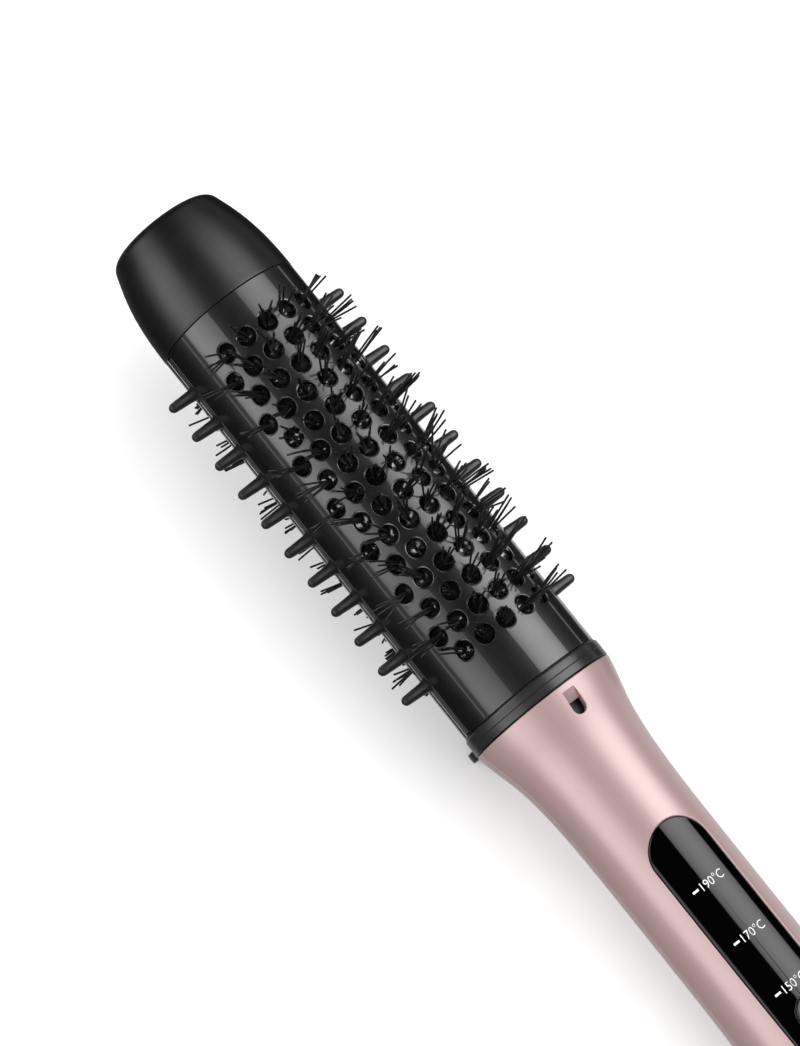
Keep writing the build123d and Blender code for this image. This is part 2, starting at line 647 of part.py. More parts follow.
BOARD_BOTTOM = BOARD_TOP - BOARD_THICKNESS
with BuildPart() as triac:
    with Locations((TRIAC_X, 0, BOARD_BOTTOM - 2.3)):
        Box(*TRIAC_SIZE)
    with Locations((TRIAC_TAB_X, 0, BOARD_BOTTOM - 2.3)):
        Box(*TRIAC_TAB_SIZE)
finish(triac, "triac")

with BuildPart() as capacitor:
    with Locations((CAPACITOR_X, 0, BOARD_BOTTOM - FIT)):
        Box(*CAPACITOR_SIZE, align=HANGING)
    fillet(capacitor.edges().filter_by(Axis.Z), 0.8)
finish(capacitor, "capacitor")

with BuildPart() as ion_generator:
    with Locations((ION_GENERATOR_X, 0, BOARD_BOTTOM - FIT)):
        Box(*ION_GENERATOR_SIZE, align=HANGING)
    fillet(ion_generator.edges().filter_by(Axis.X), 1.0)
finish(ion_generator, "ion_generator")

NEEDLE_Z = 14.2
NEEDLE_FROM = 168.8
NEEDLE_LENGTH = 6.4
NEEDLE_RADIUS = 0.35
NEEDLE_HOLDER_X = 170.0

with BuildPart() as ion_needle_holder:
    with Locations((NEEDLE_HOLDER_X, ION_SLOT_Y, NEEDLE_Z - 0.4)):
        Box(3.0, 2.0, 2.0)
    with Locations(Location((NEEDLE_HOLDER_X, ION_SLOT_Y, NEEDLE_Z), ALONG_X)):
        Cylinder(NEEDLE_RADIUS + 0.01, 4, mode=Mode.SUBTRACT)
finish(ion_needle_holder, "ion_needle_holder")

with BuildPart() as ion_needle:
    with Locations(Location((NEEDLE_FROM, ION_SLOT_Y, NEEDLE_Z), ALONG_X)):
        Cylinder(NEEDLE_RADIUS, NEEDLE_LENGTH, align=STANDING)
    with Locations(Location((NEEDLE_FROM + NEEDLE_LENGTH, ION_SLOT_Y, NEEDLE_Z), ALONG_X)):
        Cone(NEEDLE_RADIUS, 0.06, 0.8, align=STANDING)
finish(ion_needle, "ion_needle")


# ---- blower ---------------------------------------------------------------------------------------
with BuildPart() as motor_can:
    add(tube(MOTOR_FROM, MOTOR_TO - END_BELL_LENGTH, MOTOR_RADIUS, SHAFT_RADIUS + RUN))
    fillet(motor_can.edges().group_by(Axis.X)[0].sort_by(SortBy.LENGTH)[-1], 1.0)
finish(motor_can, "motor_can")

with BuildPart() as motor_end_bell:
    add(tube(MOTOR_TO - END_BELL_LENGTH + FIT, MOTOR_TO, MOTOR_RADIUS - 0.4, SHAFT_RADIUS + RUN))
    add(tube(MOTOR_TO - 0.2, MOTOR_TO + BEARING_LENGTH, BEARING_RADIUS, SHAFT_RADIUS + RUN))
finish(motor_end_bell, "motor_end_bell")

with BuildPart() as motor_shaft:
    with Locations(Location((FAN_FROM - 0.5, 0, 0), ALONG_X)):
        Cylinder(SHAFT_RADIUS, MOTOR_TO + BEARING_LENGTH + 0.7 - FAN_FROM, align=STANDING)
finish(motor_shaft, "motor_shaft")

HUB_OF_FAN = 4.6
BLADE_PITCH = 35.0
BLADE_THICKNESS = 0.9

with BuildPart() as fan_impeller:
    add(tube(FAN_FROM, FAN_TO, HUB_OF_FAN, SHAFT_RADIUS))
    blade_middle = (HUB_OF_FAN + FAN_RADIUS) / 2 - 0.2
    for blade in range(FAN_BLADES):
        place = Location(((FAN_FROM + FAN_TO) / 2, 0, 0), (360 / FAN_BLADES * blade, 0, 0))
        with Locations(place * Location((0, 0, blade_middle), (0, 0, BLADE_PITCH))):
            Box(FAN_TO - FAN_FROM, BLADE_THICKNESS, FAN_RADIUS - HUB_OF_FAN - 0.2)
finish(fan_impeller, "fan_impeller")

with BuildPart() as fan_shroud:
    add(tube(SHROUD_FROM, SHROUD_TO, SHROUD_INNER + SHROUD_WALL, SHROUD_INNER))
    add(tube(STATOR_FROM, SHROUD_TO, MOTOR_RADIUS + 0.9, MOTOR_RADIUS + FIT))
    vane_middle = (MOTOR_RADIUS + FIT + SHROUD_INNER + SHROUD_WALL) / 2
    stator_middle = (STATOR_FROM + SHROUD_TO) / 2
    for vane in range(STATOR_VANES):
        with Locations(radial(stator_middle, 360 / STATOR_VANES * vane, vane_middle)):
            Box(SHROUD_TO - STATOR_FROM, 1.0, SHROUD_INNER - MOTOR_RADIUS - 0.3)
    # three outer ribs seat the shroud in the handle
    for rib_angle in (0, 90, -90):
        with Locations(radial(50.0, rib_angle, SHROUD_INNER + 1.5)):
            Box(8.0, 2.0, 2.0)
finish(fan_shroud, "fan_shroud")


# ---- heater ---------------------------------------------------------------------------------------
HEATER_FROM, HEATER_TO = 152.0, 177.0
MICA_HALF = 10.0
COIL_RADIUS = 10.75
COIL_TURNS = 8
COIL_WIRE = 0.45
COIL_END = 2.0        # bare mica at each end of the coil
MICA_THICKNESS = 0.8
SLEEVE_OUTER, SLEEVE_INNER = 12.6, 12.2
BRACKET_FROM, BRACKET_TO = 156.0, 159.0
BRACKET_OUTER = 13.3
THERMOSTAT_SIZE = (10, 5, 3.6)
FUSE_RADIUS, FUSE_LENGTH = 1.3, 9.0
FUSE_LEAD_RADIUS, FUSE_LEAD_LENGTH = 0.3, 15.0

with BuildPart() as mica_frame:
    with BuildSketch(Plane.YZ.offset(HEATER_FROM)):
        Rectangle(2 * MICA_HALF, MICA_THICKNESS)
        Rectangle(MICA_THICKNESS, 2 * MICA_HALF)
    extrude(amount=HEATER_TO - HEATER_FROM)
finish(mica_frame, "mica_frame")

with BuildPart() as heating_coil:
    coil_length = HEATER_TO - HEATER_FROM - 2 * COIL_END
    with BuildLine():
        coil = Helix(coil_length / COIL_TURNS, coil_length, COIL_RADIUS,
                     center=(HEATER_FROM + COIL_END, 0, 0), direction=(1, 0, 0))
    with BuildSketch(Plane(origin=coil @ 0, z_dir=coil % 0)):
        Circle(COIL_WIRE)
    sweep(is_frenet=True)
finish(heating_coil, "heating_coil")

with BuildPart() as mica_sleeve:
    add(tube(HEATER_FROM - 1, HEATER_TO, SLEEVE_OUTER, SLEEVE_INNER))
finish(mica_sleeve, "mica_sleeve")

with BuildPart() as heater_bracket:
    add(tube(BRACKET_FROM, BRACKET_TO, BRACKET_OUTER, SLEEVE_OUTER + RUN))
finish(heater_bracket, "heater_bracket")

with BuildPart() as thermostat:
    with Locations((160.0, 4.2, 3.2)):
        Box(*THERMOSTAT_SIZE)
finish(thermostat, "thermostat")

with BuildPart() as thermal_fuse:
    with Locations(Location((161.0, -4.0, 3.2), ALONG_X)):
        Cylinder(FUSE_RADIUS, FUSE_LENGTH)
        Cylinder(FUSE_LEAD_RADIUS, FUSE_LEAD_LENGTH)
finish(thermal_fuse, "thermal_fuse")


# ---- wiring ----------------------------------------------------------------------------------------
SUPPLY_WIRE = 0.8
HEATER_WIRE = 0.7


def wire(points, bend, radius):
    """A lead along straight runs joined by bends."""
    with BuildPart() as lead:
        with BuildLine():
            route = FilletPolyline(*points, radius=bend)
        with BuildSketch(Plane(origin=route @ 0, z_dir=route % 0)):
            Circle(radius)
        sweep()
    return lead.part


with BuildPart() as supply_leads:
    for side in (-1, 1):
        add(wire([
            (16.6, side * 1.4, -1.6), (21.0, side * 1.6, -2.4), (27.0, side * 4.9, -10.5),
            (33.0, side * 5.8, -12.2), (58.0, side * 5.8, -12.2), (66.0, side * 5.8, -11.0),
            (74.0, side * 5.8, 8.0),
        ], 1.8, SUPPLY_WIRE))
finish(supply_leads, "supply_leads")

with BuildPart() as heater_leads:
    for side in (-1, 1):
        add(wire([
            (132.0, side * 6.0, 7.8), (135.0, side * 6.0, 5.0),
            (147.0, side * 5.0, 1.6), (151.6, side * 5.0, 1.6),
        ], 1.6, HEATER_WIRE))
finish(heater_leads, "heater_leads")


# ---- rear end: inlet grille, filter and cord swivel ---------------------------------------------------
COVER_OUTLINE = ((5.0, 9.0), (9.0, 13.8), (17.0, 16.4), (HANDLE_REAR - 0.3, 17.0))
COVER_FROM, COVER_TO = COVER_OUTLINE[0][0], COVER_OUTLINE[-1][0]
COVER_SPIGOT_RADIUS = 14.5
COVER_SPIGOT_TO = COVER_TO + 4.0
VENT_COUNT = 20
VENT_X, VENT_LENGTH, VENT_WIDTH = 18.5, 11.0, 2.2
FILTER_FROM, FILTER_TO = 15.8, 25.3
FILTER_OUTER, FILTER_INNER = 13.6, 13.2
FILTER_ROWS = 4
FILTER_ROW_STEP = 2.1
FILTER_SLOTS = 24
RETAINER_FROM, RETAINER_TO = 12.7, 14.5
RETAINER_RADIUS = 11.9
RETAINER_SCREW_RADIUS = 0.8

with BuildPart() as rear_cover:
    with BuildSketch(Plane.XZ):
        with BuildLine():
            outer = Spline(*COVER_OUTLINE, tangents=((0.2, 1), (1, 0.02)))
            Polyline(
                outer @ 1, (COVER_TO, COVER_SPIGOT_RADIUS), (COVER_SPIGOT_TO, COVER_SPIGOT_RADIUS),
                (COVER_SPIGOT_TO, 13.5), (25.5, 13.8), (25.5, 14.7), (17.0, 14.2), (10.0, 12.0),
                (10.0, SWIVEL_RADIUS + RUN), (COVER_FROM, SWIVEL_RADIUS + RUN), outer @ 0,
            )
        make_face()
    revolve(axis=Axis.X)
    for side in (-1, 1):
        with Locations(Location((11.0, side * RETAINER_SCREW_Y, 0), ALONG_X)):
            Cylinder(1.8, 3.2)
            Cylinder(RETAINER_SCREW_RADIUS + RUN, 3.4, mode=Mode.SUBTRACT)
    for vent in range(VENT_COUNT):
        with Locations(radial(VENT_X, 360 / VENT_COUNT * (vent + 0.5), 15.5)):
            Box(VENT_LENGTH, VENT_WIDTH, 6.0, mode=Mode.SUBTRACT)
    # the spigot leaves room for the supply leads
    with Locations((HANDLE_REAR + 2.0, 0, -14.0)):
        Box(4.0, 18, 6, mode=Mode.SUBTRACT)
finish(rear_cover, "rear_cover")

with BuildPart() as filter_screen:
    add(tube(FILTER_FROM, FILTER_TO, FILTER_OUTER, FILTER_INNER))
    for row in range(FILTER_ROWS):
        for step in range(FILTER_SLOTS):
            turn = 360 / FILTER_SLOTS * (step + 0.5 * (row % 2))
            with Locations(radial(FILTER_FROM + 1.4 + FILTER_ROW_STEP * row, turn, FILTER_INNER + 0.2)):
                Box(1.5, 2.4, 2.0, mode=Mode.SUBTRACT)
finish(filter_screen, "filter_screen")

with BuildPart() as cord_swivel:
    with BuildSketch(Plane.XZ):
        with BuildLine():
            Polyline(
                (0, CORD_BORE), (0, SWIVEL_RADIUS - 0.8), (0.8, SWIVEL_RADIUS), (FLANGE_FROM, SWIVEL_RADIUS),
                (FLANGE_FROM, FLANGE_RADIUS), (FLANGE_TO, FLANGE_RADIUS), (FLANGE_TO, SWIVEL_RADIUS),
                (SWIVEL_LENGTH, SWIVEL_RADIUS), (SWIVEL_LENGTH, CORD_BORE), (0, CORD_BORE),
            )
        make_face()
    revolve(axis=Axis.X)
finish(cord_swivel, "cord_swivel")

with BuildPart() as swivel_retainer:
    add(tube(RETAINER_FROM, RETAINER_TO, RETAINER_RADIUS, SWIVEL_RADIUS + RUN))
    for side in (-1, 1):
        with Locations(Location((RETAINER_FROM, side * RETAINER_SCREW_Y, 0), ALONG_X)):
            Cylinder(RETAINER_SCREW_RADIUS + 0.15, 5, mode=Mode.SUBTRACT)
finish(swivel_retainer, "swivel_retainer")

with BuildPart() as retainer_screws:
    for side in (-1, 1):
        with Locations(Location((RETAINER_TO, side * RETAINER_SCREW_Y, 0), ALONG_X)):
            Cylinder(RETAINER_SCREW_RADIUS, 4.2, align=HANGING)
            Cylinder(2 * RETAINER_SCREW_RADIUS, 1.1, align=STANDING)
finish(retainer_screws, "retainer_screws")
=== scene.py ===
import json
import math
import random

import bmesh
import bpy
import numpy as np
from mathutils import Matrix, Vector


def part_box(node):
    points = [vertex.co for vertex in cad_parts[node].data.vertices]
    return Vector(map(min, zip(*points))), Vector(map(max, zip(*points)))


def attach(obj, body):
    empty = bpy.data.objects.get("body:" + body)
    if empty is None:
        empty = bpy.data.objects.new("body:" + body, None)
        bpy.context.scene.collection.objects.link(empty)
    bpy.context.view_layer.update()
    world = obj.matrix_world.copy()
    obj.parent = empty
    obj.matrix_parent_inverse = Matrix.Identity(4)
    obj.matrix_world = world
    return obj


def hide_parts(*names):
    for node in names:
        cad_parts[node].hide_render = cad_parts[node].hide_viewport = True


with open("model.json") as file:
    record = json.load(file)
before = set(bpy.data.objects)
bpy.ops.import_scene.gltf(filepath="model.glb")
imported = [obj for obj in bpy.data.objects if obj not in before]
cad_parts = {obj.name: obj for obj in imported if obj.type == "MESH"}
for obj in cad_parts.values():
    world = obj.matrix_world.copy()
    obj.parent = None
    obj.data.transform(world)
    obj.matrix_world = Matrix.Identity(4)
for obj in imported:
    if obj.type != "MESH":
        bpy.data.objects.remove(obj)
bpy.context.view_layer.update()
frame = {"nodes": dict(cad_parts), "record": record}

# Looks of the hot air brush. Lengths are millimetres until a mesh is made, and angles are
# degrees round the brush axis X: 0 is up (+Z, the display side) and positive is towards -Y.
MM = 0.001


def box_mm(node):
    """The lowest and highest corner of a CAD node in millimetres."""
    low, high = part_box(node)
    return low / MM, high / MM


# ---- places read from the frame ----
collar_low, collar_high = box_mm("head_collar")
barrel_low, barrel_high = box_mm("barrel")
strip_low, strip_high = box_mm("comb_strip_left")
shell_low, shell_high = box_mm("front_shell")
screws_low, screws_high = box_mm("handle_screws")
window_low, window_high = box_mm("display_window")
stand_low, stand_high = box_mm("rest_stand")
pin_low, pin_high = box_mm("stand_pin")
pads_low, pads_high = box_mm("stand_pads")
plug_low, plug_high = box_mm("tip_plug")
tip_high = box_mm("cool_tip")[1]
tuft_high = box_mm("bristles_front")[1]
cover_high = box_mm("rear_cover")[1]
swivel_high = box_mm("cord_swivel")[1]

CLEARANCE = 0.1
BARREL_RADIUS = barrel_high.z
BARREL_WALL = 1.0
BARREL_FROM, BARREL_TO = barrel_low.x, barrel_high.x
BARREL_EDGE = 0.25
COLLAR_RADIUS = collar_high.y
COLLAR_FRONT = BARREL_FROM - CLEARANCE
COLLAR_REAR = COLLAR_FRONT - 4.78
HUB_RADIUS = BARREL_RADIUS - BARREL_WALL - CLEARANCE
HUB_WALL = 1.7
HUB_LENGTH = 5.7
TIP_START, TIP_END = BARREL_TO + CLEARANCE, tip_high.x
HANDLE_REAR, HANDLE_FRONT = shell_low.x, shell_high.x
# the shells reach past the frame's joint line, to where the photo shows it
SHELL_END = HANDLE_FRONT + 0.55
SHELL_RIM = 0.3
SHELL_EDGE = 0.22
HANDLE_WALL = 2.4
PARTING = 0.06
# the radius at which lengths across a shell are turned into angles
SHELL_MEAN_RADIUS = 16

# perforation, as in the frame: columns of five and six holes, half a step apart
HOLE_RADIUS = 2.35
COLUMN_STEP = 13.369
ROW_STEP = 18.63
TUFT_END_RADIUS = 1.5
FIRST_COLUMN = tuft_high.x - TUFT_END_RADIUS
FIVE_ROW_COLUMNS = 8

# bristles and the cups that they stand in
TUFT_ROOT, TUFT_TIP = 16.0, tuft_high.z
TIP_MARGIN = 0.35
FILAMENT_RADIUS = 0.265
CUP_RADIUS = 2.2
CUP_RIM, CUP_FLOOR, CUP_WALL = 18.55, 17.3, 0.22

# comb strips; a tooth section is its height from the axis, half length and half width
SLOT_HALF_WIDTH = 1.9
SLOT_END = 0.6
STRIP_TOP = 19.75
STRIP_HALF_WIDTH = 1.6
STRIP_LAND = 5.6
TOOTH_PITCH = 9.295
TOOTH_COUNT = 11
FIRST_TOOTH = COLLAR_FRONT + 109.27
TOOTH_TIP = strip_high.y
TOOTH_END = 1.27
TOOTH_SECTIONS = (
    (19.2, 2.2, 1.72), (19.85, 2.1, 1.72), (20.15, 1.9, 1.7), (20.6, 1.72, 1.64), (21.3, 1.58, 1.55),
    (22.6, 1.5, 1.48), (24.4, 1.41, 1.4), (26.4, 1.31, 1.31),
)

# display window and its print
WINDOW_HALF_WIDTH = (window_high.y - window_low.y) / 2
WINDOW_REAR, WINDOW_FRONT = window_low.x, window_high.x
WINDOW_THICKNESS = 1.4
WINDOW_GAP = 0.14
WINDOW_RISE = 0.02
LABELS = ((122.7, "190°C"), (107.2, "170°C"), (91.7, "150°C"))
LABEL_HEIGHT = 2.37
LABEL_NARROWING = 0.88
LABEL_STROKE = -0.006
LABEL_Y = 2.55
MARK_Y = 4.2
MARK_HALF_SIZE = (0.28, 0.8)
PRINT_LIFT = 0.015
PRINT_THICKNESS = 0.02

# ion outlet
ION_Y = -0.9
ION_HALF = 1.8
ION_FROM, ION_HOLE_TO, ION_TO = 172.8, 176.6, 179.5

# buttons: their stems, and the gap round them
BUTTONS = ("power_button", "temp_button")
BUTTON_STEM = 1.7
BUTTON_GAP = 0.18

# rest stand
PIVOT_X, PIVOT_Z = (pin_low.x + pin_high.x) / 2, (pin_low.z + pin_high.z) / 2
EYE_RADIUS = 2.1
EYE_FROM, EYE_TO = 5.15, 7.95
PIN_BORE = 1.25
STAND_X = (stand_low.x + stand_high.x) / 2
STAND_HALF_THICKNESS = 1.3
STAND_BAR = 3
PAD_MIDDLE = 9.35
FOOT_X, FOOT_Z = (pads_low.x + pads_high.x) / 2, pads_low.z

# inlet cover and cord swivel
COVER_NECK = 4.0
COVER_NECK_RADIUS = 14.5
REAR_HOLE_RADIUS = 5.55
CORD_RADIUS, GLAND_RADIUS, FLANGE_RADIUS = 3.4, 5.5, 7.6
INLET_COUNT = 20
INLET_MIDDLE, INLET_HALF_LENGTH, INLET_END_RADIUS = 18.5, 4.4, 1.1

# outlines: distance from the handle's front or the tip's start, or x, and the radius there
HANDLE_SECTIONS = (
    (152.6, 17.0), (134.6, 17.3), (108.6, 16.2), (82.6, 15.5), (52.6, 15.5),
    (30.6, 15.75), (18.6, 16.55), (10.2, 17.9), (4.4, 19.4), (0.0, 20.4),
)
TIP_SECTIONS = ((0.0, 20.1), (7.5, 19.85), (13.6, 19.15), (19.8, 17.8), (25.3, 16.05))
COVER_SECTIONS = ((5.0, 9.0), (9.0, 13.8), (17.0, 16.4), (HANDLE_REAR - 0.3, 17.0))


# ---- curves and outlines ----
class Outline:
    """A radius along the brush axis: a natural cubic spline through a few points."""

    def __init__(self, points):
        points = sorted(points)
        self.x = np.array([p[0] for p in points])
        self.r = np.array([p[1] for p in points])
        count = len(points)
        step = np.diff(self.x)
        grade = np.diff(self.r) / step
        system = np.eye(count)
        right = np.zeros(count)
        for i in range(1, count - 1):
            system[i, i - 1:i + 2] = step[i - 1], 2 * (step[i - 1] + step[i]), step[i]
            right[i] = 6 * (grade[i] - grade[i - 1])
        self.bend = np.linalg.solve(system, right)

    def radius(self, x):
        i = int(np.clip(np.searchsorted(self.x, x) - 1, 0, len(self.x) - 2))
        step = self.x[i + 1] - self.x[i]
        a = (self.x[i + 1] - x) / step
        b = (x - self.x[i]) / step
        curve = ((a ** 3 - a) * self.bend[i] + (b ** 3 - b) * self.bend[i + 1]) * step ** 2 / 6
        return float(a * self.r[i] + b * self.r[i + 1] + curve)

    def slope(self, x, near=0.01):
        return (self.radius(x + near) - self.radius(x - near)) / (2 * near)

    def span(self, x_from, x_to, step=1.0):
        """(x, radius) from x_from to x_to at about the given step."""
        count = max(2, round(abs(x_to - x_from) / step) + 1)
        return [(float(x), self.radius(float(x))) for x in np.linspace(x_from, x_to, count)]


HANDLE = Outline([(HANDLE_FRONT - back, radius) for back, radius in HANDLE_SECTIONS])
TIP = Outline([(TIP_START + along, radius) for along, radius in TIP_SECTIONS])
COVER = Outline(COVER_SECTIONS)
BARREL = Outline([(BARREL_FROM - 1, BARREL_RADIUS), (BARREL_TO + 1, BARREL_RADIUS)])


def rounded(corners, steps=6, closed=True):
    """A polyline whose corners (a, b, radius) are rounded, as a list of (a, b)."""
    points = []
    count = len(corners)
    for i, (a, b, radius) in enumerate(corners):
        here = Vector((a, b))
        if radius <= 0 or (not closed and i in (0, count - 1)):
            points.append((a, b))
            continue
        before = Vector(corners[i - 1][:2]) - here
        after = Vector(corners[(i + 1) % count][:2]) - here
        half = before.angle(after) / 2
        # neighbouring corners share an edge, so each takes less than half of it
        reach = min(radius / math.tan(half), 0.49 * before.length, 0.49 * after.length)
        start, end = here + before.normalized() * reach, here + after.normalized() * reach
        bisector = (before.normalized() + after.normalized()).normalized()
        centre = here + bisector * (reach * math.tan(half) / math.sin(half))
        from_centre, to_centre = start - centre, end - centre
        turn = from_centre.angle_signed(to_centre) if from_centre.length else 0
        for k in range(steps + 1):
            points.append(tuple(centre + Matrix.Rotation(-turn * k / steps, 2) @ from_centre))
    return points


def circle(radius, sides):
    """Points evenly round a circle about the origin."""
    turns = [2 * math.pi * k / sides for k in range(sides)]
    return [(radius * math.cos(turn), radius * math.sin(turn)) for turn in turns]


def arc(centre, radius, angles):
    """Points on a circle at some angles in degrees."""
    turns = [math.radians(angle) for angle in angles]
    return [(centre[0] + radius * math.cos(turn), centre[1] + radius * math.sin(turn)) for turn in turns]


def round_axis(angle):
    """The rotation that takes what is above the brush axis to an angle round it."""
    return Matrix.Rotation(math.radians(angle), 3, "X")


def on_axis(x, angle, radius):
    """A point at a radius from the brush axis."""
    turn = math.radians(angle)
    return (x, -radius * math.sin(turn), radius * math.cos(turn))


def upright_at(x):
    """A lathe's point round a vertical axis at x."""
    return lambda along, angle, radius: (*arc((x, 0), radius, (angle,))[0], along)


def crosswise_at(x, z):
    """A lathe's point round an axis that runs along Y."""
    def place(along, angle, radius):
        across, up = arc((x, z), radius, (angle,))[0]
        return (across, along, up)
    return place


def on_handle(x, y, height):
    """The point at x and y that is a height above the handle's surface."""
    reach = HANDLE.radius(x) + height
    return (x, y, math.sqrt(reach ** 2 - y ** 2))


# ---- meshes ----
SEGMENTS = 256
SMOOTH_ANGLE = 35


def add_object(name, data):
    """Puts a mesh, a text, a lamp or a camera into the scene."""
    thing = bpy.data.objects.new(name, data)
    bpy.context.scene.collection.objects.link(thing)
    return thing


def tidy_mesh(piece, smooth_angle=SMOOTH_ANGLE):
    """Merges doubled points, turns the normals outwards and smooths up to an angle."""
    work = bmesh.new()
    work.from_mesh(piece.data)
    bmesh.ops.remove_doubles(work, verts=work.verts, dist=1e-7)
    bmesh.ops.recalc_face_normals(work, faces=work.faces)
    work.to_mesh(piece.data)
    work.free()
    piece.data.polygons.foreach_set("use_smooth", [True] * len(piece.data.polygons))
    piece.data.set_sharp_from_angle(angle=math.radians(smooth_angle))


def new_piece(name, points, faces, smooth_angle=SMOOTH_ANGLE):
    """A mesh object from points in millimetres, with its normals turned outwards."""
    mesh = bpy.data.meshes.new(name)
    mesh.from_pydata([(x * MM, y * MM, z * MM) for x, y, z in points], [], faces)
    piece = add_object(name, mesh)
    tidy_mesh(piece, smooth_angle)
    return piece


def piece_from(name, work):
    """A mesh object from a bmesh in metres, which is used up."""
    mesh = bpy.data.meshes.new(name)
    work.to_mesh(mesh)
    work.free()
    piece = add_object(name, mesh)
    tidy_mesh(piece)
    return piece


def gathered(parts):
    """One list of points and one of faces from several (points, faces)."""
    points, faces = [], []
    for part_points, part_faces in parts:
        first = len(points)
        points += part_points
        faces += [[first + i for i in face] for face in part_faces]
    return points, faces


def ring_quads(rings, sides):
    """The quads between rings of points that follow each other."""
    faces = []
    for ring in range(rings - 1):
        low, high = ring * sides, (ring + 1) * sides
        for k in range(sides):
            n = (k + 1) % sides
            faces.append([low + k, low + n, high + n, high + k])
    return faces


def tube_faces(rings, sides):
    """The faces of a closed tube: a flat cap on each end, and the quads between its rings."""
    last = (rings - 1) * sides
    caps = [list(range(sides)), list(range(last + sides - 1, last - 1, -1))]
    return caps + ring_quads(rings, sides)


def bar_along_x(section, x_from, x_to, side):
    """Points and faces of a straight bar on one side, from its section of (z, y)."""
    points = [(x, side * y, z) for x in (x_from, x_to) for z, y in section]
    return points, tube_faces(2, len(section))


def prism_y(name, outline, half_width, edge, middle=0.0):
    """An outline in X and Z, extruded along Y, with its rims chamfered by the edge size."""
    centre = sum((Vector(point) for point in outline), Vector((0, 0))) / len(outline)
    layers = [(-half_width, edge), (edge - half_width, 0), (half_width - edge, 0), (half_width, edge)]
    if not edge:
        layers = [(-half_width, 0), (half_width, 0)]
    points = []
    for y, inset in layers:
        for x, z in outline:
            away = Vector((x, z)) - centre
            shrunk = centre + away * (1 - inset / max(away.length, 1e-6))
            points.append((shrunk.x, middle + y, shrunk.y))
    return new_piece(name, points, tube_faces(len(layers), len(outline)))


def lathe(name, profile, segments=SEGMENTS, place=on_axis):
    """A solid of revolution; profile is a closed loop of (along the axis, radius)."""
    points, rings = [], []
    for along, radius in profile:
        if radius < 1e-6:
            rings.append([len(points)] * segments)
            points.append(place(along, 0, 0))
        else:
            rings.append(list(range(len(points), len(points) + segments)))
            points += [place(along, 360 * k / segments, radius) for k in range(segments)]
    faces = []
    for i, ring in enumerate(rings):
        following = rings[(i + 1) % len(rings)]
        for k in range(segments):
            n = (k + 1) % segments
            face = list(dict.fromkeys((ring[k], ring[n], following[n], following[k])))
            if len(face) > 2:
                faces.append(face)
    return new_piece(name, points, faces)


def cut(target, cutter, operation="DIFFERENCE"):
    """Cuts or joins two closed meshes for good, and removes the second."""
    modifier = target.modifiers.new("cut", "BOOLEAN")
    modifier.object = cutter
    modifier.operation = operation
    modifier.solver = "EXACT"
    depsgraph = bpy.context.evaluated_depsgraph_get()
    result = bpy.data.meshes.new_from_object(target.evaluated_get(depsgraph))
    target.modifiers.clear()
    target.data = result
    bpy.data.objects.remove(cutter)
    tidy_mesh(target)


def true_normals(piece, outline, tolerance=0.012, least_cosine=0.96):
    """Gives points that lie on a turned surface that surface's own normals."""
    mesh = piece.data
    co = np.array([v.co[:] for v in mesh.vertices]) / MM
    radius = np.hypot(co[:, 1], co[:, 2])
    outer = np.array([outline.radius(x) for x in co[:, 0]])
    slope = np.array([outline.slope(x) for x in co[:, 0]])
    normal = np.column_stack([-slope, co[:, 1] / radius, co[:, 2] / radius])
    normal /= np.linalg.norm(normal, axis=1)[:, None]
    on_surface = np.abs(radius - outer) < tolerance
    normals = [Vector(n.vector) for n in mesh.corner_normals]
    for polygon in mesh.polygons:
        for loop in polygon.loop_indices:
            vertex = mesh.loops[loop].vertex_index
            if on_surface[vertex] and Vector(normal[vertex]).dot(polygon.normal) > least_cosine:
                normals[loop] = Vector(normal[vertex])
    mesh.normals_split_custom_set(normals)


# ---- materials ----
def add_node(tree, kind, settings=(), **sockets):
    """A new shader node; its input sockets are set, or linked to other nodes' outputs."""
    node = tree.nodes.new("ShaderNode" + kind)
    for setting, value in settings:
        setattr(node, setting, value)
    set_sockets(tree, node, **sockets)
    return node


def set_sockets(tree, node, **sockets):
    for socket, value in sockets.items():
        target = node.inputs[socket.replace("_", " ")]
        if isinstance(value, bpy.types.NodeSocket):
            tree.links.new(value, target)
        else:
            target.default_value = value


def add_ramp(tree, value, stops):
    """The colour that a ramp of (position, colour) stops gives for a value."""
    ramp = add_node(tree, "ValToRGB", Fac=value)
    elements = ramp.color_ramp.elements
    while len(elements) < len(stops):
        elements.new(0.5)
    for element, (position, colour) in zip(elements, stops):
        element.position = position
        element.color = (*colour, 1)
    return ramp.outputs["Color"]


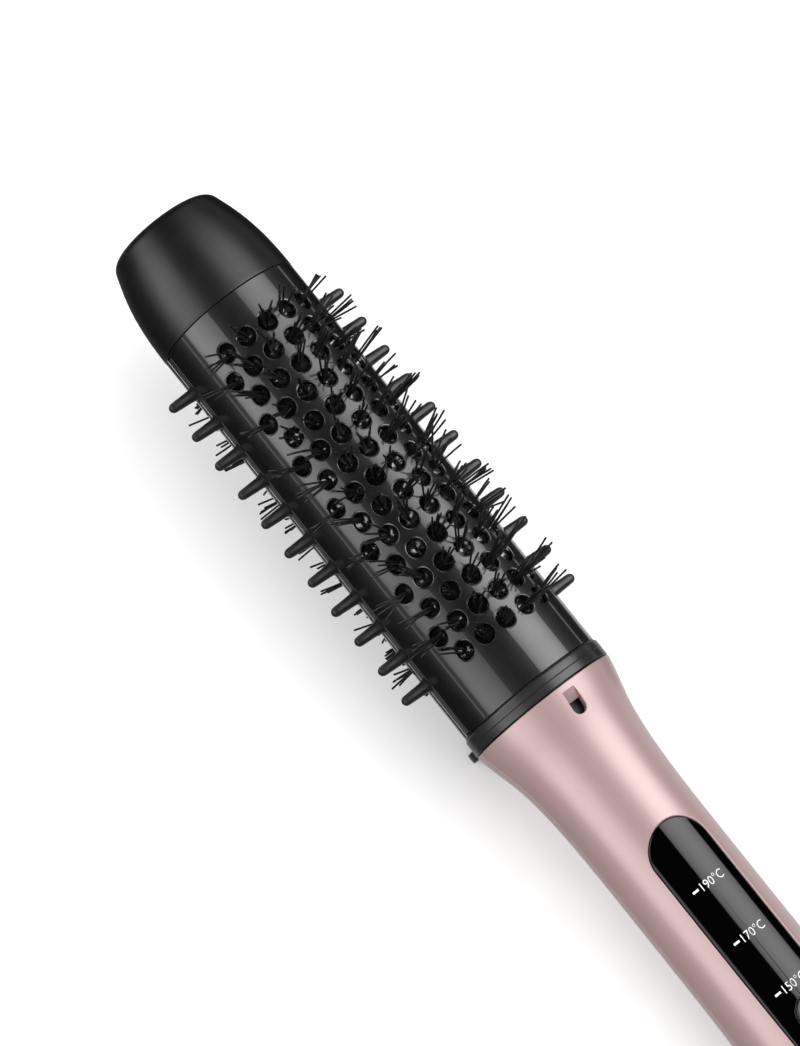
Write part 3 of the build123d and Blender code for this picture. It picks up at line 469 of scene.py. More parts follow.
class Surface:
    """A procedural material: a Principled shader with its own gloss variation and relief."""

    def __init__(self, name, colour, roughness, metallic=0.0, **sockets):
        self.name = name
        self.material = bpy.data.materials.new(name)
        self.material.use_nodes = True
        self.tree = self.material.node_tree
        self.colour, self.base = colour, (*colour, 1)
        self.roughness = roughness
        self.relief = None
        self.place = add_node(self.tree, "TexCoord").outputs["Object"]
        self.shade(Base_Color=self.base, Roughness=roughness, Metallic=metallic, **sockets)

    def shade(self, **sockets):
        """Sets or links the shader's own sockets."""
        set_sockets(self.tree, self.tree.nodes["Principled BSDF"], **sockets)
        return self

    def noise(self, scale, detail=4.0, stretch=(1, 1, 1)):
        """Noise over the object's own coordinates, which are stretched first."""
        place = add_node(self.tree, "Mapping", Vector=self.place, Scale=stretch).outputs["Vector"]
        return add_node(self.tree, "TexNoise", Vector=place, Scale=scale, Detail=detail).outputs["Fac"]

    def ranged(self, value, low, high, from_low=0.3, from_high=0.7):
        return add_node(self.tree, "MapRange", Value=value, From_Min=from_low, From_Max=from_high,
                        To_Min=low, To_Max=high).outputs["Result"]

    def vary_roughness(self, scale, amount, stretch=(1, 1, 1)):
        patches = self.noise(scale, stretch=stretch)
        return self.shade(Roughness=self.ranged(patches, self.roughness - amount, self.roughness + amount))

    def vary_colour(self, scale, darker, lighter, stretch=(1, 1, 1)):
        stops = [(0.3, [c * darker for c in self.colour]), (0.7, [c * lighter for c in self.colour])]
        self.base = add_ramp(self.tree, self.noise(scale, stretch=stretch), stops)
        return self.shade(Base_Color=self.base)

    def wear_and_highlight_edges(self, colour, share=0.6):
        """Outer edges turn lighter, in patches: partly rubbed wear, partly a painted highlight along the
        edges.
        """
        pointed = add_node(self.tree, "NewGeometry").outputs["Pointiness"]
        patches = self.ranged(self.noise(420), 0.35 * share, share)
        blend = add_node(self.tree, "Mix", [("data_type", "RGBA")], A=self.base, B=(*colour, 1),
                         Factor=self.ranged(pointed, 0, patches, 0.53, 0.62))
        self.base = blend.outputs["Result"]
        return self.shade(Base_Color=self.base)

    def grain(self, scale, detail, depth_mm, stretch=(1, 1, 1)):
        """Fine relief, on top of the relief so far."""
        height = self.noise(scale, detail, stretch)
        bump = add_node(self.tree, "Bump", Distance=depth_mm * MM, Height=height)
        if self.relief:
            set_sockets(self.tree, bump, Normal=self.relief)
        self.relief = bump.outputs["Normal"]
        return self.shade(Normal=self.relief)


def metal(name, colour, roughness, stretch=(1, 1, 1)):
    surface = Surface(name, colour, roughness, 1.0).vary_roughness(500, 0.08, stretch)
    return surface.vary_colour(260, 0.85, 1.08, stretch).grain(1800, 3.0, 0.004, stretch)


def moulded(name, colour, roughness=0.5):
    surface = Surface(name, colour, roughness).vary_roughness(300, 0.07)
    return surface.vary_colour(240, 0.88, 1.08).grain(1600, 3.0, 0.012)


# the lighter edges that several surfaces get below are partly rubbed wear and partly a painted highlight
SURFACES = (
    # gloss black ceramic: a clear, sharp coat over a hazier pigment layer
    Surface("barrel_coating", (0.0045, 0.0045, 0.0048), 0.40, IOR=1.6, Specular_IOR_Level=0.3,
            Coat_Weight=1.0, Coat_Roughness=0.06).vary_roughness(220, 0.04).grain(2600, 2.0, 0.0016),
    Surface("comb_plastic", (0.012, 0.012, 0.0125), 0.33)
    .wear_and_highlight_edges((0.05, 0.05, 0.05)).vary_roughness(400, 0.06).grain(1500, 3.0, 0.01),
    Surface("bristle_nylon", (0.003, 0.003, 0.0032), 0.42)
    .vary_colour(500, 0.6, 1.8).vary_roughness(900, 0.08),
    Surface("heat_plastic", (0.004, 0.004, 0.0042), 0.14, IOR=1.9, Coat_Weight=1.0, Coat_Roughness=0.05)
    .vary_roughness(300, 0.06).grain(900, 3.0, 0.012),
    # soft-touch black: matt, with a fine grain and a slightly polished sheen
    Surface("tip_plastic", (0.006, 0.006, 0.0065), 0.36).vary_roughness(90, 0.04)
    .wear_and_highlight_edges((0.03, 0.03, 0.031)).grain(5200, 3.0, 0.011).grain(700, 2.0, 0.006),
    # satin dark plastic with fine scratches round the collar
    Surface("collar_plastic", (0.018, 0.018, 0.0185), 0.27)
    .vary_roughness(60, 0.06, (1, 0.4, 0.4)).vary_colour(160, 0.75, 1.35, (6, 0.5, 0.5))
    .wear_and_highlight_edges((0.09, 0.09, 0.092)).grain(900, 4.0, 0.012, (5, 0.35, 0.35)),
    # satin rose-gold paint: fine metallic flakes under a soft clear coat
    Surface("rose_paint", (0.385, 0.252, 0.249), 0.40, 0.2, IOR=1.6, Coat_Weight=1.0, Coat_Roughness=0.31)
    .vary_colour(2600, 0.965, 1.035).wear_and_highlight_edges((0.66, 0.52, 0.51), 0.7)
    .vary_roughness(1500, 0.03).grain(4200, 2.0, 0.002),
    Surface("window_gloss", (0.0008, 0.0008, 0.001), 0.06).vary_roughness(130, 0.012).grain(350, 2.0, 0.001),
    # the white print also glows faintly: a painted glow that brightens it, not a lamp
    Surface("print_white", (0.82, 0.83, 0.84), 0.5, Emission_Color=(1, 1, 1, 1), Emission_Strength=0.12)
    .vary_colour(1800, 0.93, 1.0),
    Surface("button_plastic", (0.010, 0.010, 0.011), 0.2)
    .wear_and_highlight_edges((0.06, 0.06, 0.062)).vary_roughness(300, 0.04).grain(1400, 2.0, 0.003),
    Surface("floor_pale", (0.9, 0.9, 0.9), 0.8, Emission_Color=(1, 1, 1, 1), Emission_Strength=0.13)
    .vary_colour(6, 0.995, 1.0),
    metal("inner_aluminium", (0.62, 0.62, 0.63), 0.32),
    metal("punched_wall", (0.55, 0.55, 0.56), 0.16),
    metal("worn_edge", (0.16, 0.16, 0.165), 0.3),
    metal("steel", (0.56, 0.56, 0.57), 0.28, (1, 6, 6)),
    metal("screen_steel", (0.35, 0.35, 0.36), 0.4),
    metal("heater_wire", (0.42, 0.39, 0.37), 0.35),
    metal("brass_part", (0.72, 0.52, 0.22), 0.3),
    moulded("pad_rubber", (0.018, 0.018, 0.018), 0.6),
    moulded("mica", (0.50, 0.43, 0.29), 0.35),
    moulded("switch_plastic", (0.03, 0.03, 0.03)),
    moulded("board", (0.012, 0.12, 0.045), 0.35),
    moulded("led_lens", (0.8, 0.8, 0.74), 0.2),
    moulded("component_black", (0.006, 0.006, 0.006)),
    moulded("capacitor_case", (0.7, 0.5, 0.05), 0.4),
    moulded("fan_plastic", (0.5, 0.5, 0.47)),
    moulded("wire_sleeve", (0.6, 0.6, 0.57)),
)
MATERIALS = {surface.name: surface.material for surface in SURFACES}


def paint(piece, name):
    piece.data.materials.clear()
    piece.data.materials.append(MATERIALS[name])


def finish_piece(piece, slot, body, *replaced):
    """Gives a piece its material, the body it rides on and the CAD nodes it stands for."""
    paint(piece, slot)
    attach(piece, body)
    if replaced:
        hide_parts(*replaced)


def dress_cad_nodes():
    """Every CAD node gets its slot's procedural material."""
    slots = {entry["node"]: entry["material_slot"] for entry in frame["record"]["subparts"]}
    for node, piece in frame["nodes"].items():
        paint(piece, slots[node])


# ---- barrel ----
def hole_places():
    """(x, angle) of each hole of one perforated panel."""
    places = []
    for half_step in range(2 * FIVE_ROW_COLUMNS - 1):
        x = FIRST_COLUMN - half_step * COLUMN_STEP / 2
        rows = (-2.5, -1.5, -0.5, 0.5, 1.5, 2.5) if half_step % 2 else (-2, -1, 0, 1, 2)
        places += [(x, row * ROW_STEP) for row in rows]
    return places


def hole_cutter(x, angle, sides=40):
    """Points and faces of a radial punch whose upper end flares into the hole's edge."""
    crease = BARREL_RADIUS - 0.12
    flare = rounded([(BARREL_RADIUS - 3, HOLE_RADIUS, 0), (crease, HOLE_RADIUS, 0.45),
                     (crease, HOLE_RADIUS + 1.1, 0)], 5, closed=False)
    rings = flare[:-1] + [(BARREL_RADIUS + 0.35, HOLE_RADIUS + 1.0)]
    turn, foot = round_axis(angle), Vector((x, 0, 0))
    points = [tuple(foot + turn @ Vector((u, v, height)))
              for height, radius in rings for u, v in circle(radius, sides)]
    return points, tube_faces(len(rings), sides)


def slot_cutter(side):
    """Points and faces of the long cutter of a comb slot, its upper edges rolled outwards."""
    crease = BARREL_RADIUS - 0.18
    half = rounded([(SLOT_HALF_WIDTH, 15, 0), (SLOT_HALF_WIDTH, crease, 0.6),
                    (SLOT_HALF_WIDTH + 1.6, crease, 0)], 5, closed=False)
    half = half[:-1] + [(SLOT_HALF_WIDTH + 1.5, BARREL_RADIUS + 0.25)]
    section = half + [(-z, y) for z, y in reversed(half)]
    inset = SLOT_END - CLEARANCE
    return bar_along_x(section, BARREL_FROM + inset, BARREL_TO - inset, side)


def make_barrel():
    """The perforated sleeve."""
    inner = BARREL_RADIUS - BARREL_WALL
    profile = rounded([
        (BARREL_FROM, BARREL_RADIUS, BARREL_EDGE), (BARREL_TO, BARREL_RADIUS, BARREL_EDGE),
        (BARREL_TO, inner, 0), (BARREL_FROM, inner, 0),
    ], 4)
    barrel = lathe("barrel_sleeve", profile, 300)
    cutters = [hole_cutter(x, side + angle) for x, angle in hole_places() for side in (0, 180)]
    cutters += [slot_cutter(side) for side in (-1, 1)]
    cut(barrel, new_piece("barrel_cutter", *gathered(cutters)))
    true_normals(barrel, BARREL)
    finish_piece(barrel, "barrel_coating", "housing", "barrel")
    # the punched walls and the inside are bare metal, and the coating is worn thin round the holes
    barrel.data.materials.append(MATERIALS["punched_wall"])
    barrel.data.materials.append(MATERIALS["worn_edge"])
    coated_from, steepest = (BARREL_RADIUS - 0.36) * MM, 0.94
    for polygon in barrel.data.polygons:
        outward = Vector((0, polygon.center.y, polygon.center.z))
        at_end = abs(polygon.normal.x) > 0.999
        if outward.length < coated_from:
            polygon.material_index = 1
        elif not at_end and polygon.normal.dot(outward.normalized()) < steepest:
            polygon.material_index = 2


# ---- comb strips ----
def make_tooth(x, side, sides=28, end_steps=6):
    """One thick comb tooth with a flared foot and a round end."""
    rings = list(TOOTH_SECTIONS)
    end = arc((0, TOOTH_TIP - TOOTH_END), TOOTH_END, [90 * k / end_steps for k in range(1, end_steps)])
    rings += [(height, size, size) for size, height in end]
    points = [(x + along * u, side * height, across * v)
              for height, along, across in rings for u, v in circle(1, sides)]
    tip = len(points)
    points.append((x, side * TOOTH_TIP, 0))
    last = tip - sides
    faces = ring_quads(len(rings), sides)
    faces += [[last + k, last + (k + 1) % sides, tip] for k in range(sides)]
    faces.append(list(range(sides)))
    return new_piece("tooth", points, faces, 60)


def make_strip(node, side):
    """One comb strip: a flanged bar with eleven teeth, let into the hubs at both ends."""
    flange_half, flange_foot, flange_top = 3.4, 16.5, 18.3
    section = rounded([
        (-flange_half, flange_foot, 0.2), (-flange_half, flange_top, 0.3), (-STRIP_HALF_WIDTH, flange_top, 0),
        (-STRIP_HALF_WIDTH, STRIP_TOP, 0.35), (STRIP_HALF_WIDTH, STRIP_TOP, 0.35),
        (STRIP_HALF_WIDTH, flange_top, 0), (flange_half, flange_top, 0.3), (flange_half, flange_foot, 0.2),
    ], 4)
    strip = new_piece(node + "_moulding",
                      *bar_along_x(section, strip_low.x + STRIP_LAND, strip_high.x - STRIP_LAND, side))
    # the bar's ends reach over the hubs of the collar and the tip
    over_hub = HUB_RADIUS + 0.16
    reach = rounded([(-STRIP_HALF_WIDTH, over_hub, 0), (-STRIP_HALF_WIDTH, STRIP_TOP, 0.35),
                     (STRIP_HALF_WIDTH, STRIP_TOP, 0.35), (STRIP_HALF_WIDTH, over_hub, 0)], 4)
    cut(strip, new_piece("strip_reach", *bar_along_x(reach, strip_low.x, strip_high.x, side)), "UNION")
    for tooth in range(TOOTH_COUNT):
        cut(strip, make_tooth(FIRST_TOOTH - tooth * TOOTH_PITCH, side), "UNION")
    finish_piece(strip, "comb_plastic", "housing", node)


# ---- bristles ----
def filament(root, tip, bend, sides=7, steps=6):
    """Points and faces of one slightly bent nylon filament with a rounded end."""
    axis = (tip - root).normalized()
    across = axis.orthogonal().normalized()
    other = axis.cross(across)
    end_length = 0.12 / (tip - root).length
    rings = [(k / (steps - 1) * (1 - end_length), 1.0) for k in range(steps)] + [(1.0, 0.55)]
    points = []
    for t, share in rings:
        centre = root.lerp(tip, t) + bend * (4 * t * (1 - t))
        points += [tuple(centre + (across * u + other * v) * FILAMENT_RADIUS * share)
                   for u, v in circle(1, sides)]
    return points, tube_faces(len(rings), sides)


def make_bristles(node, side, seed, fan, share):
    """All tufts of one panel: a few loose filaments in each hole, leaning to the tip.

    The tufts fan out by `fan` at the panel's edges and reach `share` of their full height.
    """
    chance = random.Random(seed)
    filaments = []
    outermost = 2.5 * ROW_STEP
    most_drift = HOLE_RADIUS - 0.35
    for x, angle in hole_places():
        turn, shift = round_axis(angle + side), Vector((x, 0, 0))
        edge = -angle / outermost
        spread = fan[0] if edge > 0 else fan[1]
        lean = Vector((chance.gauss(0.13, 0.13), spread * edge * abs(edge) + chance.gauss(0, 0.09), 0))
        for _ in range(chance.randint(4, 6)):
            direction = Vector((chance.gauss(0, 0.12), chance.gauss(0, 0.12), 1)) + lean
            foot = Vector((chance.uniform(-0.45, 0.45), chance.uniform(-0.45, 0.45), TUFT_ROOT))
            length = (TUFT_TIP - TUFT_ROOT) * (share - 0.1 * max(0.0, edge)) * chance.uniform(0.82, 1.12)
            end = foot + direction.normalized() * length
            # a filament that leans far rests against the edge of its hole
            at_skin = (BARREL_RADIUS - TUFT_ROOT) / (end.z - TUFT_ROOT)
            drift = Vector((foot.x + (end.x - foot.x) * at_skin, foot.y + (end.y - foot.y) * at_skin, 0))
            foot -= drift.normalized() * max(0.0, drift.length - most_drift) / (1 - at_skin)
            # and none reaches past the frame's own tufts
            reach, furthest = math.hypot(end.y, end.z), TUFT_TIP - TIP_MARGIN
            if reach > furthest:
                end = foot + (end - foot) * ((furthest - TUFT_ROOT) / (reach - TUFT_ROOT))
            bend = Vector((chance.gauss(0, 0.12), chance.gauss(0, 0.12), 0))
            filaments.append(filament(shift + turn @ foot, shift + turn @ end, turn @ bend))
    bristles = new_piece(node + "_filaments", *gathered(filaments), 60)
    finish_piece(bristles, "bristle_nylon", "housing", node)


def make_cups(name, side, sides=24, steps=6):
    """The shallow glossy dishes that the tufts stand in, just under the barrel's holes."""
    dish = [(CUP_RADIUS * k / steps, CUP_FLOOR + (CUP_RIM - CUP_FLOOR) * (k / steps) ** 2)
            for k in range(1, steps + 1)]
    rings = dish + [(radius, height - CUP_WALL) for radius, height in reversed(dish)]
    cups = []
    for x, angle in hole_places():
        turn, shift = round_axis(angle + side), Vector((x, 0, 0))
        points = [tuple(shift + turn @ Vector((u, v, height)))
                  for radius, height in rings for u, v in circle(radius, sides)]
        cups.append((points, tube_faces(len(rings), sides)))
    finish_piece(new_piece(name, *gathered(cups), 50), "heat_plastic", "housing")


# ---- cool tip, plug and collar ----
def make_cool_tip():
    """The closed cap, whose outline rolls over into the flat end face, and its plug."""
    side = TIP.span(TIP_START, TIP_START + TIP_SECTIONS[-1][0], 0.8)
    x0, r0 = side[-1]
    # the rolled rim is an arc, tangent to the side and to the end face
    slope = math.atan(TIP.slope(x0 - 0.02))
    turn = 90 + math.degrees(slope)
    rim_radius = (TIP_END - x0) / (1 + math.sin(slope))
    centre = (TIP_END - rim_radius, r0 - rim_radius * math.cos(slope))
    rim = arc(centre, rim_radius, [turn * (1 - k / 14) for k in range(1, 15)])
    plug_radius = plug_high.y + CLEARANCE
    wall, screw_hole, hub_end = TIP_END - 3.2, 1.7, TIP_START - HUB_LENGTH
    face = rounded([
        (TIP_END, rim[-1][1], 0), (TIP_END, plug_radius, 0.3), (TIP_END - 5, plug_radius, 0),
        (TIP_END - 5, screw_hole, 0), (TIP_END - 7, screw_hole, 0), (TIP_END - 7, 5, 0), (wall, 7.3, 0),
        (wall, 11.9, 0), (TIP_START + 12, HUB_RADIUS - 2, 0), (hub_end, HUB_RADIUS - HUB_WALL, 0),
        (hub_end, HUB_RADIUS, 0.4), (TIP_START, HUB_RADIUS, 0),
    ], 4, closed=False)
    edge = [(TIP_START, TIP.radius(TIP_START) - 0.3), (TIP_START + 0.09, TIP.radius(TIP_START) - 0.09),
            (TIP_START + 0.3, TIP.radius(TIP_START + 0.3))]
    finish_piece(lathe("cool_tip_cap", edge + side[1:] + rim + face[1:]), "tip_plastic", "housing", "cool_tip")

    plug = lathe("tip_plug_disc", rounded([
        (plug_low.x, 0, 0), (plug_low.x, plug_high.y, 0),
        (plug_high.x, plug_high.y, 0.35), (plug_high.x, 0, 0),
    ], 5, closed=False), 96)
    finish_piece(plug, "tip_plastic", "housing", "tip_plug")


def make_collar():
    """The ring between barrel and handle, with a fine groove and a lug for the stand."""
    groove_x, groove = STAND_X - 0.3, 0.14
    bore, spigot_radius, spigot_end = 15.6, 17.4, COLLAR_REAR - 3
    collar = lathe("collar_ring", rounded([
        (spigot_end, bore, 0), (spigot_end, spigot_radius, 0.3), (COLLAR_REAR, spigot_radius, 0),
        (COLLAR_REAR, COLLAR_RADIUS, 0.2), (groove_x - groove, COLLAR_RADIUS, 0.05),
        (groove_x, COLLAR_RADIUS - groove, 0), (groove_x + groove, COLLAR_RADIUS, 0.05),
        (COLLAR_FRONT, COLLAR_RADIUS, 1.0), (COLLAR_FRONT, HUB_RADIUS, 0),
        (COLLAR_FRONT + HUB_LENGTH, HUB_RADIUS, 0.4), (COLLAR_FRONT + HUB_LENGTH, HUB_RADIUS - HUB_WALL, 0),
        (COLLAR_FRONT, HUB_RADIUS - HUB_WALL, 0), (COLLAR_FRONT, bore, 0),
    ], 6))
    lug_root = -18.8
    outline = arc((PIVOT_X, PIVOT_Z), EYE_RADIUS, range(180, 361, 10))
    outline += [(PIVOT_X + EYE_RADIUS, lug_root), (PIVOT_X - EYE_RADIUS, lug_root)]
    cut(collar, prism_y("lug", outline, 4.8, 0.3), "UNION")
    hole = [(PIVOT_X + u, PIVOT_Z + v) for u, v in circle(1.23, 40)]
    cut(collar, prism_y("lug_hole", hole, 6, 0))
    finish_piece(collar, "collar_plastic", "housing", "head_collar")


# ---- handle ----
def pill_ring(margin, height, end_steps=40, side_steps=60):
    """The window's pill outline grown by a margin, at a height above the handle's surface."""
    radius = WINDOW_HALF_WIDTH + margin
    front, rear = WINDOW_FRONT - WINDOW_HALF_WIDTH, WINDOW_REAR + WINDOW_HALF_WIDTH
    straight = [front + (rear - front) * k / side_steps for k in range(1, side_steps)]
    outline = arc((front, 0), radius, np.linspace(-90, 90, end_steps))
    outline += [(x, radius) for x in straight]
    outline += arc((rear, 0), radius, np.linspace(90, 270, end_steps))
    outline += [(x, -radius) for x in reversed(straight)]
    return [on_handle(x, y, height) for x, y in outline]


def pill_solid(name, layers):
    """A closed pill-shaped solid through rings of (margin, height), lowest first."""
    inward = [-WINDOW_HALF_WIDTH * share for share in (0.999, 0.8, 0.6, 0.4, 0.2)]
    rings = [pill_ring(margin, layers[0][1]) for margin in inward]
    rings += [pill_ring(margin, height) for margin, height in layers]
    rings += [pill_ring(margin, layers[-1][1]) for margin in reversed(inward)]
    count = len(rings[0])
    faces = ring_quads(len(rings), count)
    # the innermost rings are slits that close along the middle line
    for first in (0, (len(rings) - 1) * count):
        for k in range(count // 2):
            face = list(dict.fromkeys((first + k, first + (k + 1) % count,
                                       first + count - 2 - k, first + count - 1 - k)))
            if len(face) > 2:
                faces.append(face)
    return new_piece(name, [point for ring in rings for point in ring], faces)


def make_shell(name, middle, arc_steps=120, corner_steps=4):
    """One half of the handle: a half-round wall with rounded edges."""
    half = 90 - math.degrees(PARTING / SHELL_MEAN_RADIUS)
    edge = math.degrees(SHELL_EDGE / SHELL_MEAN_RADIUS)
    # the section's outer arc has rounded corners, and its inner arc runs back
    corner = [(edge * (1 - cosine) - half, SHELL_EDGE * (1 - sine))
              for cosine, sine in arc((0, 0), 1, [90 * k / corner_steps for k in range(corner_steps)])]
    section = corner + [(edge - half + 2 * (half - edge) * k / arc_steps, 0.0) for k in range(arc_steps + 1)]
    section += [(-angle, inset) for angle, inset in reversed(corner)]
    outer_count = len(section)
    section += [(half - 2 * half * k / (outer_count - 1), HANDLE_WALL) for k in range(outer_count)]
    # so do the ends: (x, how far the outside drops there)
    rim = [(sine, SHELL_RIM - cosine) for cosine, sine in arc((0, 0), SHELL_RIM, range(15, 91, 15))]
    rear, front = HANDLE_REAR + SHELL_RIM, SHELL_END - SHELL_RIM
    stations = [(rear - along, drop) for along, drop in reversed(rim)]
    stations += [(x, 0.0) for x, _ in HANDLE.span(rear, front)]
    stations += [(front + along, drop) for along, drop in rim]
    points = []
    for x, drop in stations:
        for angle, inset in section:
            outer_drop = drop if inset < HANDLE_WALL else 0
            points.append(on_axis(x, middle + angle, HANDLE.radius(x) - inset - outer_drop))
    count = len(section)
    faces = ring_quads(len(stations), count)
    for first in (0, (len(stations) - 1) * count):
        faces += [[first + k, first + k + 1, first + count - 2 - k, first + count - 1 - k]
                  for k in range(outer_count - 1)]
    return new_piece(name, points, faces)


def ion_cutter():
    """The ion outlet's hole: square towards the collar, round behind, with a flared edge."""
    layers = [(0, -7.0), (0, -0.3), (0.04, -0.14), (0.14, -0.04), (0.3, 0.03), (0.3, 2.5)]
    angles = range(90, 271, 9)
    points = []
    for margin, height in layers:
        half = ION_HALF + margin
        outline = [(ION_HOLE_TO + margin, ION_Y - half), (ION_HOLE_TO + margin, ION_Y + half)]
        outline += arc((ION_FROM + ION_HALF, ION_Y), half, angles)
        points += [on_handle(x, y, height) for x, y in outline]
    return new_piece("ion_hole", points, tube_faces(len(layers), len(angles) + 2))


def ramp_cutter():
    """The ramp in front of the ion hole, deepening away from the collar."""
    ramp_from, flare, above = ION_HOLE_TO - 0.6, 0.18, 3
    deep, shallow = HANDLE.radius(ramp_from), HANDLE.radius(ION_TO)
    points = []
    for side in (-1, 1):
        foot, top = ION_Y + side * ION_HALF, ION_Y + side * (ION_HALF + flare)
        points += [(ramp_from, foot, deep - 2.1), (ION_TO, foot, shallow - 0.12),
                   (ION_TO + 0.2, top, shallow + above), (ramp_from, top, deep + above)]
    return new_piece("ion_ramp", points, tube_faces(2, 4))


def make_handle():
    """The two handle shells and the gloss window with its buttons' holes."""
    front = make_shell("front_shell_paint", 0)
    cut(front, pill_solid("pocket", [
        (WINDOW_GAP, -WINDOW_THICKNESS - 0.12), (WINDOW_GAP, -0.34), (WINDOW_GAP + 0.06, -0.17),
        (WINDOW_GAP + 0.2, -0.05), (WINDOW_GAP + 0.4, 0.03), (WINDOW_GAP + 0.4, 3),
    ]))
    cut(front, ion_cutter())
    cut(front, ramp_cutter())
    true_normals(front, HANDLE)
    finish_piece(front, "rose_paint", "housing", "front_shell")

    back = make_shell("back_shell_paint", 180)
    bore, head = 2.1, 1.9
    for x in (screws_low.x + head, screws_high.x - head):
        skin = -HANDLE.radius(x)
        hole = [(-12, 0), (-12, bore), (skin + 0.25, bore), (skin + 0.05, bore + 0.1),
                (skin - 0.1, bore + 0.4), (skin - 2, bore + 0.4), (skin - 2, 0)]
        cut(back, lathe("screw_hole", hole, 48, upright_at(x)))
    true_normals(back, HANDLE)
    finish_piece(back, "rose_paint", "housing", "back_shell")

    window = pill_solid("window_pane", [
        (0, -WINDOW_THICKNESS), (0, -0.3), (-0.02, WINDOW_RISE - 0.17), (-0.09, WINDOW_RISE - 0.08),
        (-0.2, WINDOW_RISE - 0.02), (-0.34, WINDOW_RISE),
    ])
    for node in BUTTONS:
        low, high = box_mm(node)
        x, radius = (low.x + high.x) / 2, (high.x - low.x) / 2 + BUTTON_GAP
        top = HANDLE.radius(x)
        hole = [(8, 0), (8, radius), (top - 0.35, radius), (top - 0.05, radius + 0.12),
                (top + 0.3, radius + 0.4), (top + 2, radius + 0.4), (top + 2, 0)]
        cut(window, lathe("button_hole", hole, 96, upright_at(x)))
    true_normals(window, HANDLE, 0.04)
    finish_piece(window, "window_gloss", "housing", "display_window")


def make_ion_liner():
    """The black insert that closes the ion outlet's well, just ahead of the needle."""
    x_from, x_to = ION_FROM - 0.9, ION_TO - 0.4
    inside = HANDLE.radius(ION_FROM) - HANDLE_WALL
    low, high = inside - 2.8, inside - 0.6
    outline = [(x_from, low), (x_to, low), (x_to, high), (x_from, high)]
    liner = prism_y("ion_liner", outline, ION_HALF + 0.6, 0.2, ION_Y)
    finish_piece(liner, "component_black", "housing")


def text_mesh(text):
    """A text as a flat mesh in millimetres that reads from +Y to -Y, its tops towards the tip."""
    curve = bpy.data.curves.new("text", "FONT")
    curve.body = text
    curve.offset = LABEL_STROKE
    curve.resolution_u = 6
    holder = add_object("text", curve)
    depsgraph = bpy.context.evaluated_depsgraph_get()
    mesh = bpy.data.meshes.new_from_object(holder.evaluated_get(depsgraph))
    bpy.data.objects.remove(holder)
    co = np.array([v.co[:] for v in mesh.vertices])
    left, foot = co[:, 0].min(), co[:, 1].min()
    scale = LABEL_HEIGHT / (co[:, 1].max() - foot)
    for vertex in mesh.vertices:
        along, up = (vertex.co.x - left) * scale * LABEL_NARROWING, (vertex.co.y - foot) * scale
        vertex.co = Vector((up - LABEL_HEIGHT / 2, -along, 0))
    return mesh


def add_print(name, mesh, x, y):
    """Makes a flat mesh in millimetres a thin slab of print on the window."""
    work = bmesh.new()
    work.from_mesh(mesh)
    bmesh.ops.remove_doubles(work, verts=work.verts, dist=1e-5)
    bmesh.ops.triangulate(work, faces=work.faces)
    # long edges are divided, so that the print follows the curved window
    long_edges = [e for e in work.edges if e.calc_length() > 0.7]
    bmesh.ops.subdivide_edges(work, edges=long_edges, cuts=2)
    made = bmesh.ops.extrude_face_region(work, geom=list(work.faces))
    for vertex in [g for g in made["geom"] if isinstance(g, bmesh.types.BMVert)]:
        vertex.co.z += PRINT_THICKNESS
    bmesh.ops.recalc_face_normals(work, faces=work.faces)
    for vertex in work.verts:
        vertex.co = Vector(on_handle(x + vertex.co.x, y + vertex.co.y, PRINT_LIFT + vertex.co.z)) * MM
    work.to_mesh(mesh)
    work.free()
    piece = add_object(name, mesh)
    paint(piece, "print_white")
    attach(piece, "housing")


def make_print():
    """The generic scale printed on the window: a bar and a temperature for each step."""
    a, b = MARK_HALF_SIZE
    for x, text in LABELS:
        add_print(f"label_{text[:3]}", text_mesh(text), x, LABEL_Y)
        bar = bpy.data.meshes.new("bar")
        bar.from_pydata([(-a, -b, 0), (a, -b, 0), (a, b, 0), (-a, b, 0)], [], [[0, 1, 2, 3]])
        add_print(f"scale_bar_{text[:3]}", bar, x, MARK_Y)


def make_buttons():
    """Two dished round buttons with raised rims."""
    for node in BUTTONS:
        low, high = box_mm(node)
        x, radius, top = (low.x + high.x) / 2, (high.x - low.x) / 2, high.z
        profile = rounded([
            (low.z, 0, 0), (low.z, BUTTON_STEM, 0), (top - 1.0, BUTTON_STEM, 0), (top - 1.0, radius, 0.1),
            (top, radius, 0.35), (top, radius - 0.7, 0.2), (top - 0.18, radius - 1.4, 0.6), (top - 0.26, 0, 0),
        ], 5, closed=False)
        finish_piece(lathe(node + "_cap", profile, 96, upright_at(x)), "button_plastic", node, node)


